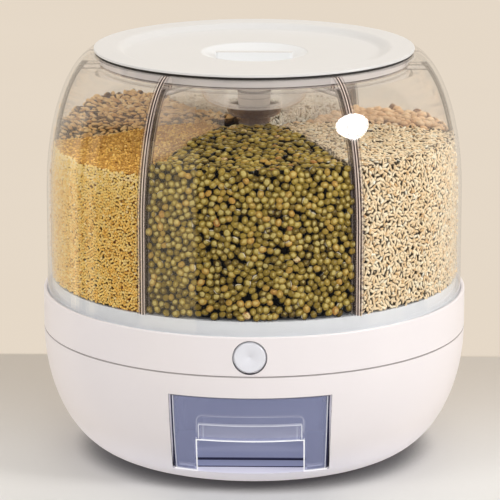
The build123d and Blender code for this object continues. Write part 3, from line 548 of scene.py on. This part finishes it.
potLook = {
    # metres: painted shade on the desiccant pot: dark lines round it and the line over its dark foot, each
    # with how dark it is; glow: painted light
    "foot": 0.2188, "footSoft": 0.0008, "dark": rgb(84, 66, 60), "glow": 0.20,
    "shadeLines": [(0.2275, 0.2290, 0.85), (0.2238, 0.2243, 0.34), (0.2188, 0.2194, 0.85)],
}


def softRubber(name, color, pot=None):
    # matt rubber or board, and the desiccant pot with painted shade in dark lines round it and on its foot,
    # and a painted glow
    paint = Paint(name)
    cloud = paint.noise(90.0, 3.0, 0.6)
    tone = paint.mix(cloud, scaled(color, 0.92), scaled(color, 1.08))
    if pot:
        x, y, z = paint.axes()
        shadeLines = [z.between(low, high, 0.0002) * cover for low, high, cover in pot["shadeLines"]]
        tone = paint.mix(shadeLines[0].most(shadeLines[1]).most(shadeLines[2]), tone, pot["dark"])
        # painted shade: below the foot line the pot is dark
        tone = paint.mix(z.above(pot["foot"], pot["footSoft"]), pot["dark"], tone)
    shade = paint.principled(
        Base_Color=tone,
        Roughness=0.55 + 0.15 * cloud,
        Normal=paint.bump(cloud * 0.00004, 1.0),
        # painted light: the pot glows with its colour
        Emission_Color=tone,
        Emission_Strength=pot["glow"] if pot else 0.0,
    )
    return paint.finish(shade)


def brightSteel(name):
    # brushed steel of the hidden fixings
    paint = Paint(name)
    grain = paint.noise(900.0, 3.0, 0.6)
    shade = paint.principled(
        Base_Color=paint.mix(grain, rgb(196, 196, 194), rgb(214, 214, 212)),
        Metallic=1.0,
        Roughness=0.24 + 0.14 * grain,
        Normal=paint.bump(grain * 0.00001, 1.0),
    )
    return paint.finish(shade)


def dress(material, *names):
    # gives CAD nodes a better material in their own slots
    for name in names:
        for place in nodes[name].material_slots:
            place.material = material


dress(mouldedPlastic("basePlastic", mouldedLook["base"], baseMarks), "base_bowl", "base_ring")
dress(mouldedPlastic("lidPlastic", mouldedLook["lid"], lidMarks), "lid_disc", "lid_skirt")
funnelNames = [name for name in nodes if name.startswith("grain_funnel")]
dress(mouldedPlastic("trayPlastic", mouldedLook["tray"]), "hopper_floor", *funnelNames)
dress(
    mouldedPlastic("innerPlastic", mouldedLook["inner"]),
    "deck_plate", "gate_guide", "gate_plate", "button_guide", "ball_cage", "axle_stud",
)
dress(bayPaint("bayPlastic"), "drawer_bay")
dress(mouldedPlastic("buttonPlastic", mouldedLook["button"]), "button_cap")
dress(clearPlastic("domeClear", clearLook["dome"], domeMarks), "hopper_shell")
dress(clearPlastic("wallClear", clearLook["wall"], wallMarks, bends=True), "partition", "hub_cap")
dress(clearPlastic("drawerClear", clearLook["drawer"], drawerMarks), "drawer_box")
dress(clearPlastic("cupClear", clearLook["cup"], cupMarks, bends=True), "desiccant_cup")
dress(softRubber("sealSilicone", rgb(204, 198, 195)), "lid_seal")
dress(softRubber("gasketRubber", rgb(46, 42, 40)), "lid_gasket")
dress(softRubber("cartridgeGrey", rgb(226, 216, 208), potLook), "desiccant_cartridge")
dress(softRubber("footRubber", rgb(70, 70, 70)), "rubber_feet")
dress(
    brightSteel("brightSteel"),
    "base_screws", "guide_screws", "return_spring", "bearing_balls", "hub_washer", "hub_screw",
)
print("CAD nodes painted")

# grain in the compartments
hopper = {
    # metres
    "sectorAngles": {
        "front": -90, "frontLeft": -150, "frontRight": -30, "backLeft": 150, "backRight": 30, "rear": 90,
    },
    "innerRadius": 0.1274,
    "shoulder": 0.165,       # where the dome's wall starts to curve in
    "crownRadius": 0.095,    # where that curve ends
    "crownHeight": 0.0875,   # and how far above the shoulder
    "floor": 0.1127,
    "hubRadius": 0.0165,
    "wallHalf": 0.00115,     # half a divider and a little room
    "sideBand": 0.026,       # how far down a divider the side of a heap is laid with grain
    "wallBand": 0.110,       # how far up the dome's wall grain is laid
    "paleBand": 0.013,       # how far down the wall the pale edge of a heap fades
    "hubCoveredAbove": 202,  # mm: a heap with a higher rim covers the hub too
}
mm = 0.001                   # in metres

grainLook = {
    # size: half lengths in mm, gap: mm between neighbours, mesh: segments and rings (None: an icosphere)
    # under: density of a second layer below, tilt: how far grains tip out of the surface
    # rim, crown: heap heights in mm at the wall and near the hub, peak: the hub's share of a heap's length
    # lean: mm that one side stands higher, round: mm that both sides drop, lumps: mm of unevenness
    # stops: tones from dark to pale, mark: colour of the eye or tip, deep: painted shade between the grains
    # and on their sunk sides
    # shadeFrom, shadeSoft, shade: how far a grain is sunk where its painted shade starts, how softly, and
    # how much
    "mungBeans": {
        "sector": "front", "size": (3.06, 2.42, 2.20), "gap": 4.40, "mesh": (9, 6),
        "under": 0.6, "tilt": 0.30, "lumps": 0.7, "seed": 11,
        "rim": 203.5, "crown": 212.5, "peak": 0.30, "lean": 0.0,
        "stops": [
            (0.0, rgb(84, 64, 18)), (0.30, rgb(120, 98, 34)), (0.66, rgb(158, 133, 54)),
            (0.90, rgb(188, 144, 68)), (0.985, rgb(158, 96, 56)), (1.0, rgb(226, 200, 146)),
        ],
        "mark": rgb(240, 232, 210), "rough": 0.24, "deep": rgb(12, 5, 1),
        "shadeFrom": 0.235, "shadeSoft": 0.10, "shade": 1.0, "underShade": 0.10,
        # the sheen keys: a painted highlight on each grain's outermost point, its colour, reach, softness
        # and strength; gleam: the real gloss
        "paintedSheen": rgb(226, 208, 132), "sheenTo": 0.030, "sheenSoft": 0.035, "sheenCover": 0.55, "gleam": 0.35,
    },
    "millet": {
        "sector": "frontLeft", "size": (1.04, 1.00, 0.92), "gap": 1.84, "mesh": None,
        "under": 0.0, "tilt": 0.50, "lumps": 0.3, "seed": 12,
        "rim": 196.6, "crown": 207.5, "peak": 0.15, "lean": 0.0,
        "stops": [
            (0.0, rgb(198, 144, 64)), (0.25, rgb(248, 200, 100)),
            (0.75, rgb(255, 226, 144)), (1.0, rgb(255, 232, 176)),
        ],
        "mark": rgb(255, 236, 184), "rough": 0.42, "deep": rgb(160, 92, 22), "shadeFrom": 0.55, "shade": 0.8,
        # painted light and shade: how much paler the grain is painted at the heap's edge on the dome, and
        # how much darker on top
        "edgeGlow": 0.44, "topShade": 0.44,
    },
    "brownRice": {
        "sector": "frontRight", "size": (2.75, 1.10, 0.95), "gap": 2.42, "mesh": (5, 4),
        "under": 0.42, "tilt": 0.35, "lumps": 0.7, "seed": 13,
        "rim": 203.0, "crown": 208.5, "peak": 0.30, "lean": 0.0,
        "stops": [
            (0.0, rgb(222, 182, 132)), (0.30, rgb(246, 218, 176)),
            (0.75, rgb(255, 238, 206)), (1.0, rgb(255, 250, 232)),
        ],
        "mark": rgb(255, 248, 226), "rough": 0.40, "deep": rgb(50, 28, 10),
        "shadeFrom": 0.29, "shadeSoft": 0.20,
    },
    "flatBeans": {
        "sector": "backLeft", "size": (3.20, 2.55, 1.15), "gap": 4.3, "mesh": (8, 5),
        "under": 0.8, "tilt": 0.75, "lumps": 1.2, "seed": 14,
        "rim": 210.5, "crown": 207.0, "peak": 0.78, "lean": -10.0, "round": 11.0,
        "stops": [
            (0.0, rgb(196, 146, 84)), (0.40, rgb(232, 188, 122)),
            (0.80, rgb(248, 212, 150)), (1.0, rgb(254, 230, 182)),
        ],
        "mark": rgb(130, 88, 56), "rough": 0.38, "deep": rgb(50, 26, 8),
        "shadeFrom": 0.30, "shadeSoft": 0.20,
    },
    "chickPeas": {
        "sector": "backRight", "size": (3.50, 3.20, 3.15), "gap": 6.1, "mesh": (8, 6),
        "under": 0.8, "tilt": 0.50, "lumps": 1.0, "seed": 15,
        "rim": 202.0, "crown": 204.0, "peak": 0.60, "lean": -5.0, "round": 4.0,
        "stops": [
            (0.0, rgb(226, 176, 126)), (0.40, rgb(243, 200, 152)),
            (0.80, rgb(250, 216, 172)), (1.0, rgb(254, 230, 194)),
        ],
        "mark": rgb(226, 178, 130), "rough": 0.46, "deep": rgb(112, 66, 30),
        "shadeFrom": 0.34, "shadeSoft": 0.24,
    },
    "whiteRice": {
        "sector": "rear", "size": (2.90, 1.08, 0.95), "gap": 2.7, "mesh": (6, 4),
        "under": 0.5, "tilt": 0.35, "lumps": 0.7, "seed": 16,
        "rim": 201.0, "crown": 208.0, "peak": 0.25, "lean": 0.0,
        "stops": [
            (0.0, rgb(222, 212, 192)), (0.40, rgb(238, 232, 216)), (1.0, rgb(250, 247, 238)),
        ],
        "mark": rgb(244, 240, 228), "rough": 0.36, "deep": rgb(140, 130, 108),
    },
}


def wallRadius(height):
    # inside of the dome at a height
    if height <= hopper["shoulder"]:
        return hopper["innerRadius"]
    rise = min(1.0, (height - hopper["shoulder"]) / hopper["crownHeight"])
    return hopper["crownRadius"] + (hopper["innerRadius"] - hopper["crownRadius"]) * sqrt(1 - rise * rise)


def heapHeight(look, radius, turn):
    # top of a heap: up from the wall to a peak, then down again to the hub
    # turn is the angle from the middle of the sector
    share = 1 - (radius - hopper["hubRadius"]) / (hopper["innerRadius"] - hopper["hubRadius"])
    top = 1 - look["peak"]
    if share < top:
        rise = 0.5 - 0.5 * cos(pi * share / top)
    else:
        rise = 1 - 0.5 * ((share - top) / max(look["peak"], 0.01)) ** 2
    x, y = radius * cos(turn), radius * sin(turn)
    seed = look["seed"]
    # waves of about 35 mm with waves of about 20 mm on them
    lump = sin(x * 190 + seed) * sin(y * 170 + 2.1 * seed)
    lump += 0.6 * sin(x * 350 + 3 * seed) * sin(y * 310 + seed)
    height = look["rim"] + (look["crown"] - look["rim"]) * rise
    height += look["lumps"] * lump + look["lean"] * sin(turn)
    height -= look.get("round", 0) * min(1, (turn / halfSector) ** 2)
    return height * mm


scatter = {
    # shares of the gap from row to row and that a point is thrown, then how points are pushed apart
    "row": 0.87, "throw": 0.55, "rounds": 7, "push": 0.42, "take": 0.6,
}


def spread(width, height, gap, seed):
    # points about one gap apart: rows thrown off by chance, then pushed apart
    source = np.random.default_rng(seed)
    row = scatter["row"] * gap
    points = []
    for y in np.arange(0.5, height / row):
        for x in np.arange(0.25 + 0.5 * (y % 2 > 1), width / gap):
            points.append((x, y))
    points = np.array(points) * (gap, row)
    points += source.uniform(-scatter["throw"], scatter["throw"], size=points.shape) * gap
    points = np.clip(points, 0, (width, height))
    count = len(points)
    for step in range(scatter["rounds"]):
        tree = KDTree(count)
        for index, (x, y) in enumerate(points):
            tree.insert((x, y, 0), index)
        tree.balance()
        push = np.zeros((count, 2))
        for index, (x, y) in enumerate(points):
            for place, other, away in tree.find_range((x, y, 0), gap):
                if 0 < away:
                    strength = scatter["push"] * (gap - away) / away
                    push[index] += ((x - place[0]) * strength, (y - place[1]) * strength)
        points = np.clip(points + push * scatter["take"], 0, (width, height))
    return points


def modelGrain(name, look):
    # one grain at the origin, X along it and Z through its flat: points, faces and which points are marked
    bpy.ops.object.select_all(action="DESELECT")
    if look["mesh"]:
        segments, rings = look["mesh"]
        bpy.ops.mesh.primitive_uv_sphere_add(
            segments=segments, ring_count=rings, radius=1.0, rotation=(0, pi / 2, 0)
        )
        bpy.ops.object.transform_apply(rotation=True)
    else:
        bpy.ops.mesh.primitive_ico_sphere_add(subdivisions=1, radius=1.0)
    grain = bpy.context.object
    bpy.ops.object.mode_set(mode="EDIT")
    bpy.ops.mesh.select_all(action="SELECT")
    bpy.ops.transform.resize(value=tuple(half * mm for half in look["size"]), center_override=(0, 0, 0))
    bpy.ops.object.mode_set(mode="OBJECT")
    long, middle = (half * mm for half in look["size"][:2])
    marks = []
    for vertex in grain.data.vertices:
        x, y, z = vertex.co
        marked = 0.0
        tip = 1.0 if x > 0.9 * long else 0.0
        if name == "mungBeans":
            # barrel ends, and a pale eye on one side
            vertex.co.y = y * (1 + 0.10 * (1 - (x / long) ** 2))
            marked = 1.0 if y > 0.80 * middle and abs(x) < 0.6 * long else 0.0
        if name == "flatBeans":
            # kidney dent on one side with the dark eye in it
            vertex.co.y = y - 0.22 * middle * (1 - (x / long) ** 2) * (1 if y > 0 else 0.25)
            marked = 1.0 if y > 0.85 * middle else 0.0
        if name == "chickPeas":
            # beak at one end
            vertex.co.x = x * (1 + 0.16 * tip)
            marked = tip
        if name in ("brownRice", "whiteRice"):
            # slightly bent, with a paler tip
            vertex.co.y = y + 0.20 * middle * (1 - (x / long) ** 2)
            marked = tip
        marks.append(marked)
    points = np.array([tuple(vertex.co) for vertex in grain.data.vertices])
    faces = [tuple(face.vertices) for face in grain.data.polygons]
    bpy.data.objects.remove(grain)
    return points, faces, np.array(marks)


def grainPaint(name, look):
    # each grain has its own tone, cloudy skin and fine wrinkles, with painted shade on its sunk side and, on
    # some, a painted highlight
    paint = Paint(name + "Paint")
    tone = paint.node("Attribute", {"attribute_name": "grainTone"}, out="Fac")
    mark = paint.node("Attribute", {"attribute_name": "grainMark"}, out="Fac")
    cloud = paint.noise(700.0, 2.0, 0.6)
    color = paint.node("ValToRGB", {"stops": look["stops"]}, {"Fac": tone + 0.16 * (cloud - 0.5)})
    color = paint.mix(mark.above(0.62, 0.3) * 0.8, color, look["mark"])
    sunk = paint.node("Attribute", {"attribute_name": "grainSunk"}, out="Fac")
    # painted highlight: the outermost point of each grain is paler
    if "paintedSheen" in look:
        paintedHighlight = (1 - sunk.above(look["sheenTo"], look["sheenSoft"])) * look["sheenCover"]
        color = paint.mix(paintedHighlight, color, look["paintedSheen"])
    # painted shade: the sunk side of each grain turns to the deep colour
    shaded = sunk.above(look.get("shadeFrom", 0.55), look.get("shadeSoft", 0.30)) * look.get("shade", 0.9)
    # pale grains at the heap's edge get less painted shade
    if "edgeGlow" in look:
        shaded = shaded * (1 - 0.75 * tone.above(0.86, 0.10))
    color = paint.mix(shaded, color, look["deep"])
    shade = paint.principled(
        Base_Color=color,
        Roughness=look["rough"] + 0.12 * cloud,
        IOR=1.45,
        Specular_IOR_Level=look.get("gleam", 0.15),
        Normal=paint.bump(cloud * 0.00006, 1.0),
    )
    return paint.finish(shade)


def gapShadePaint(name, look):
    # painted shade: the dark colour that shows between the grains
    paint = Paint(name + "GapShadePaint")
    scale = 620.0 / look["gap"]
    cells = paint.node("TexVoronoi", None, {"Vector": paint.place, "Scale": scale}, out="Distance")
    shade = paint.principled(
        Base_Color=paint.mix(cells.above(0.45, 0.25), look["deep"], scaled(look["deep"], 0.45)),
        Roughness=0.8,
        Normal=paint.bump(1 - cells, 0.0006),
    )
    return paint.finish(shade)


def frameOf(normals, source, tilt):
    # for each grain a turned and tipped set of axes: along, across, and out of the surface
    count = len(normals)
    out = normals / np.linalg.norm(normals, axis=1)[:, None]
    along = np.cross(out, source.normal(size=(count, 3)))
    along /= np.linalg.norm(along, axis=1)[:, None]
    across = np.cross(out, along)
    tips = source.normal(size=(count, 2)) * tilt
    out = out + along * tips[:, :1] + across * tips[:, 1:]
    out /= np.linalg.norm(out, axis=1)[:, None]
    along = along - out * (along * out).sum(1)[:, None]
    along /= np.linalg.norm(along, axis=1)[:, None]
    return np.stack([along, np.cross(out, along), out], axis=2)


def sideLimit(radius, reach):
    # half angle that a heap has at a radius, reach clear of the dividers' middles
    return halfSector - reach / max(radius, 2 * reach)


def grainPlaces(look):
    # where every grain of one heap lies, in metres, and which way is out there
    source = np.random.default_rng(look["seed"])
    middle = radians(hopper["sectorAngles"][look["sector"]])
    gap = look["gap"] * mm
    half = look["size"][2] * mm
    spots, normals, layerOf = [], [], []

    def keep(radius, turn, height, normal, layer=0):
        spots.append((radius * cos(middle + turn), radius * sin(middle + turn), height))
        normals.append(normal)
        layerOf.append(layer)

    layers = [(gap, 0.0, 0)] + ([(gap / sqrt(look["under"]), 1.75 * half, 1)] if look["under"] else [])
    radius = hopper["innerRadius"]
    for layerGap, depth, number in layers:
        # against the dome
        reach = hopper["wallHalf"] + 0.95 * half
        width = 2 * radius * sideLimit(radius, reach)
        for along, height in spread(width, hopper["wallBand"], layerGap, look["seed"] + 100 + number):
            turn = (along - width / 2) / radius
            height += hopper["floor"] + half
            at = wallRadius(height) - 1.06 * half - depth - source.random() * 0.25 * half
            if height < heapHeight(look, at, turn) - 0.3 * half - depth:
                slope = (wallRadius(height + mm) - wallRadius(height - mm)) / (2 * mm)
                keep(at, turn, height, (cos(middle + turn), sin(middle + turn), -slope), number)
        # on top
        size = 2 * radius
        for x, y in spread(size * 0.9, size * 0.5, layerGap, look["seed"] + 200 + number):
            y -= size * 0.25
            at, turn = hypot(x, y), atan2(y, x)
            inner = at > hopper["hubRadius"] + half or look["rim"] > hopper["hubCoveredAbove"]
            if abs(turn) < sideLimit(at, hopper["wallHalf"] + 1.1 * half) and inner and at > 0.004:
                top = heapHeight(look, at, turn)
                if at < wallRadius(top) - 1.2 * half:
                    height = top - 0.7 * half - depth + source.normal() * 0.22 * half
                    slope = (heapHeight(look, at + mm, turn) - heapHeight(look, at - mm, turn)) / (2 * mm)
                    normal = (-slope * cos(middle + turn), -slope * sin(middle + turn), 1.0)
                    keep(at, turn, height, normal, number)
    # along the dividers, near the top
    deep = hopper["sideBand"]
    long = hopper["innerRadius"] - hopper["hubRadius"]
    for side in (-1, 1):
        for along, down in spread(long, deep, gap, look["seed"] + 300 + side):
            at = hopper["hubRadius"] + along
            turn = side * sideLimit(at, hopper["wallHalf"] + 1.05 * half)
            top = heapHeight(look, at, turn)
            height = top - down - half
            if at < wallRadius(height) - 2.4 * half and height > hopper["floor"]:
                angle = middle + turn + side * pi / 2
                keep(at, turn, height, (cos(angle), sin(angle), 0.0))
    return np.array(spots), np.array(normals), np.array(layerOf), source


def heapOf(name, look):
    # every grain of a heap as one mesh, each with its own size, turn and tone
    points, faces, marks = modelGrain(name, look)
    spots, normals, layerOf, source = grainPlaces(look)
    turns = frameOf(normals, source, look["tilt"])
    count, corners = len(spots), len(points)
    grow = source.uniform(0.90, 1.06, size=(count, 1, 1)) * source.uniform(0.95, 1.05, size=(count, 1, 3))
    around = np.einsum("nij,nvj->nvi", turns, points[None] * grow)
    placed = around + spots[:, None]
    out = normals / np.linalg.norm(normals, axis=1)[:, None]
    half = look["size"][2] * mm
    # how sunk each point is, which places the painted shade and highlight: 0 at a grain's outermost point, 1
    # at its innermost, and more in the layer below
    sunk = 0.5 - 0.5 * np.einsum("nvi,ni->nv", around, out) / half + 0.45 * layerOf[:, None]
    # painted shade: the underside of a grain that leans on the dome is darker
    under = look.get("underShade", 0) * np.clip(1 - out[:, 2], 0, 1)
    sunk -= under[:, None] * around[:, :, 2] / half
    mesh = bpy.data.meshes.new(name)
    shifts = range(0, count * corners, corners)
    allFaces = [tuple(corner + shift for corner in face) for shift in shifts for face in faces]
    mesh.from_pydata(placed.reshape(-1, 3).tolist(), [], allFaces)
    tones = source.normal(0.5, 0.20, size=count)
    # painted light just under the edge of a heap, where it meets the dome, and painted shade on top
    below = np.maximum(look["rim"] * mm - spots[:, 2], 0) / hopper["paleBand"]
    tones += look.get("edgeGlow", 0) * (1 - out[:, 2]) * np.exp(-below * below)
    tones -= look.get("topShade", 0) * out[:, 2]
    tones = np.repeat(np.clip(tones, 0, 1), corners)
    perPoint = {"grainTone": tones, "grainMark": np.tile(marks, count), "grainSunk": sunk.ravel()}
    for label, values in perPoint.items():
        attribute = mesh.attributes.new(label, "FLOAT", "POINT")
        attribute.data.foreach_set("value", values.astype(np.float32))
    mesh.polygons.foreach_set("use_smooth", [True] * len(mesh.polygons))
    mesh.materials.append(grainPaint(name, look))
    piece = bpy.data.objects.new(name, mesh)
    scene.collection.objects.link(piece)
    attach(piece, "hopper")
    print(name, count, "grains,", count * sum(len(face) - 2 for face in faces), "triangles")


bedLook = {
    # along, across: parts of its top, levels: its top (0) and the heights of the rows of its side
    "along": 26, "across": 20, "levels": (0, 0.185, 0.165, hopper["floor"]),
    # how deep it lies under two layers of grain and under one, in half a grain's thickness
    "double": 3.2, "single": 2.0,
}


def bedOf(name, look):
    # solid middle of a heap, a little inside its grains, in the painted shade colour between them
    inset = look["size"][2] * mm * (bedLook["double"] if look["under"] else bedLook["single"])
    middle = radians(hopper["sectorAngles"][look["sector"]])
    bpy.ops.object.select_all(action="DESELECT")
    bpy.ops.mesh.primitive_grid_add(
        x_subdivisions=bedLook["along"], y_subdivisions=bedLook["across"], size=2.0
    )
    bed = bpy.context.object
    bed.name = name + "Bed"

    def settle(vertex, height):
        # unit square to sector: X runs out from the hub, Y runs from one divider to the other
        outer = wallRadius(height if height else look["rim"] * mm) - inset
        radius = hopper["hubRadius"] + inset + (outer - hopper["hubRadius"] - inset) * (vertex.co.x + 1) / 2
        turn = vertex.co.y * sideLimit(radius, hopper["wallHalf"] + inset * 0.8)
        top = height if height else heapHeight(look, radius, turn) - inset
        vertex.co = (radius * cos(middle + turn), radius * sin(middle + turn), top)

    bpy.ops.object.mode_set(mode="EDIT")
    mesh = bmesh.from_edit_mesh(bed.data)
    flat = [vertex.co.copy() for vertex in mesh.verts]
    for level in bedLook["levels"]:
        if level:
            bpy.ops.mesh.extrude_region_move()
        mesh = bmesh.from_edit_mesh(bed.data)
        mesh.verts.ensure_lookup_table()
        chosen = [vertex for vertex in mesh.verts if vertex.select]
        for vertex, place in zip(chosen, flat):
            vertex.co = place
            settle(vertex, level)
        bmesh.update_edit_mesh(bed.data)
    bpy.ops.mesh.select_all(action="SELECT")
    bpy.ops.mesh.normals_make_consistent(inside=False)
    bpy.ops.object.mode_set(mode="OBJECT")
    bed.data.materials.append(gapShadePaint(name, look))
    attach(bed, "hopper")


for name, look in grainLook.items():
    bedOf(name, look)
    heapOf(name, look)
print("grain laid")

# floor, backdrop and lamps
room = {
    "wallDistance": 3.2,
    "counter": rgb(223, 222, 219),
    "farCounter": rgb(201, 194, 184),    # near the border
    "fadeFrom": -0.10,       # where the counter starts to turn to that colour
    "borderY": 0.204,        # where the counter ends and the wall's colour begins
    "contactShadow": rgb(44, 40, 41),          # painted shadow where the object nearly touches the counter
    "contactReach": 0.018,
    "contactCover": 0.9,
    "wall": rgb(231, 218, 201),
    "wallGloss": 0.88,       # how much of the wall shows in gloss
    "clouds": rgb(190, 170, 148),        # faint clouds on the wall
    "dust": rgb(170, 162, 154),          # faint dust on the counter
    "world": (0.87, 0.86, 0.86, 1),
    "worldStrength": 0.50,
    "glossShare": 0.14,      # how much of the world's light shows in gloss
    "counterSize": 8.0,
    "wallSize": 16.0,
}


def roomPaint(name, border=None):
    # counter colour in front of the border with a painted shadow where the object stands, glowing wall
    # colour behind it
    paint = Paint(name)
    cloud = paint.noise(3.0, 3.0, 0.5)
    # in gloss, but not through the clear walls
    glossy = paint.node("LightPath", out="Is Glossy Ray")
    glossy = glossy * (1 - paint.node("LightPath", out="Is Transmission Ray"))
    seen = paint.mix(glossy * (1 - room["wallGloss"]), room["wall"], black)
    glow = paint.node("Emission", None, {"Color": paint.mix(cloud * 0.08, seen, room["clouds"])})
    if border is None:
        return paint.finish(glow)
    x, y, z = paint.axes()
    fine = paint.noise(300.0, 2.0, 0.6)
    # painted shadow: the counter darkens where ambient occlusion finds the object near
    near = paint.node("AmbientOcclusion", {"samples": 6}, {"Distance": room["contactReach"]}, out="AO")
    near = 1 - near.above(0.42, 0.34)
    middle = (room["fadeFrom"] + border) / 2
    color = paint.mix(y.above(middle, border - middle), room["counter"], room["farCounter"])
    color = paint.mix(near * room["contactCover"], color, room["contactShadow"])
    shade = paint.principled(
        Base_Color=paint.mix(cloud * 0.08 + fine * 0.04, color, room["dust"]),
        Roughness=0.55 + 0.1 * fine,
    )
    return paint.finish(paint.node("MixShader", None, {0: y.above(border, 0.003), 1: shade, 2: glow}))


bpy.ops.object.select_all(action="DESELECT")
bpy.ops.mesh.primitive_plane_add(size=room["counterSize"], location=(0, 0, 0))
counter = bpy.context.object
counter.name = "counter"
counter.visible_glossy = False
counter.data.materials.append(roomPaint("counterPaint", room["borderY"]))
bpy.ops.mesh.primitive_plane_add(
    size=room["wallSize"], location=(0, room["wallDistance"], 0), rotation=(pi / 2, 0, 0)
)
backWall = bpy.context.object
backWall.name = "backWall"
backWall.data.materials.append(roomPaint("wallPaint"))

# the world's light is weaker in gloss
world = bpy.data.worlds.new("softRoom")
world.use_nodes = True
air = world.node_tree.nodes["Background"]
lightPath = world.node_tree.nodes.new("ShaderNodeLightPath")
mirrored = world.node_tree.nodes.new("ShaderNodeMath")
mirrored.operation = "SUBTRACT"
mirrored.use_clamp = True
tint = world.node_tree.nodes.new("ShaderNodeMix")
tint.data_type = "RGBA"
tint.inputs[6].default_value = room["world"]
tint.inputs[7].default_value = scaled(room["world"], room["glossShare"])
for output, socket in (
    (lightPath.outputs["Is Glossy Ray"], mirrored.inputs[0]),
    (lightPath.outputs["Is Transmission Ray"], mirrored.inputs[1]),
    (mirrored.outputs[0], tint.inputs[0]),
    (tint.outputs[2], air.inputs["Color"]),
):
    world.node_tree.links.new(output, socket)
air.inputs["Strength"].default_value = room["worldStrength"]
scene.world = world

lampRows = {
    # degrees right of the front, degrees up, metres away, what it aims at, width, height, watts,
    # whether it lights surfaces, and whether it shows in gloss
    "keyLamp": (63.5, 23.5, 1.7, (0.06, -0.10, 0.227), 0.62, 0.44, 17, True, True),
    "fillLamp": (-52, 28, 2.3, (0, 0, 0.12), 1.0, 1.0, 14, True, False),
    "backLamp": (172, 22, 2.4, (0, 0, 0.2), 1.6, 0.8, 9, True, False),
    "frontLamp": (8, 38, 2.4, (0, 0, 0.12), 1.4, 1.0, 4.0, True, False),
    "topLamp": (20, 84, 1.8, (0, 0, 0.2), 1.2, 1.2, 7.5, True, False),
    "washPanel": (-45.5, 0, 1.2, (0, 0, 0.08), 0.70, 0.90, 1.7, False, True),
    "milletStrip": (-97, 0, 1.2, (0, 0, 0.08), 0.16, 0.60, 0.30, False, True),
    "farStrip": (-113, 0, 1.2, (0, 0, 0.08), 0.12, 0.60, 0.20, False, True),
    "ricePanel": (76, -3, 1.2, (0, 0, 0.0), 0.50, 0.50, 0.35, False, True),
}
panelColor = (1.0, 0.84, 0.58)           # of the lamps that show in gloss alone


def addLamp(name, right, up, away, aim, width, height, watts, lights, shines):
    # an area lamp that the camera doesn't see
    lamp = bpy.data.lights.new(name, "AREA")
    lamp.shape = "ELLIPSE" if lights else "RECTANGLE"
    lamp.size = width
    lamp.size_y = height
    lamp.energy = watts
    lamp.color = (1, 1, 1) if lights else panelColor
    holder = bpy.data.objects.new(name, lamp)
    right, up = radians(right), radians(up)
    toLamp = Vector((sin(right) * cos(up), -cos(right) * cos(up), sin(up)))
    holder.location = Vector(aim) + toLamp * away
    holder.rotation_euler = (-toLamp).to_track_quat("-Z", "Y").to_euler()
    holder.visible_camera = False
    holder.visible_transmission = False
    holder.visible_diffuse = lights
    holder.visible_glossy = shines
    scene.collection.objects.link(holder)


for name, row in lampRows.items():
    addLamp(name, *row)
scene.view_settings.view_transform = "Standard"
print("room and lamps ready")
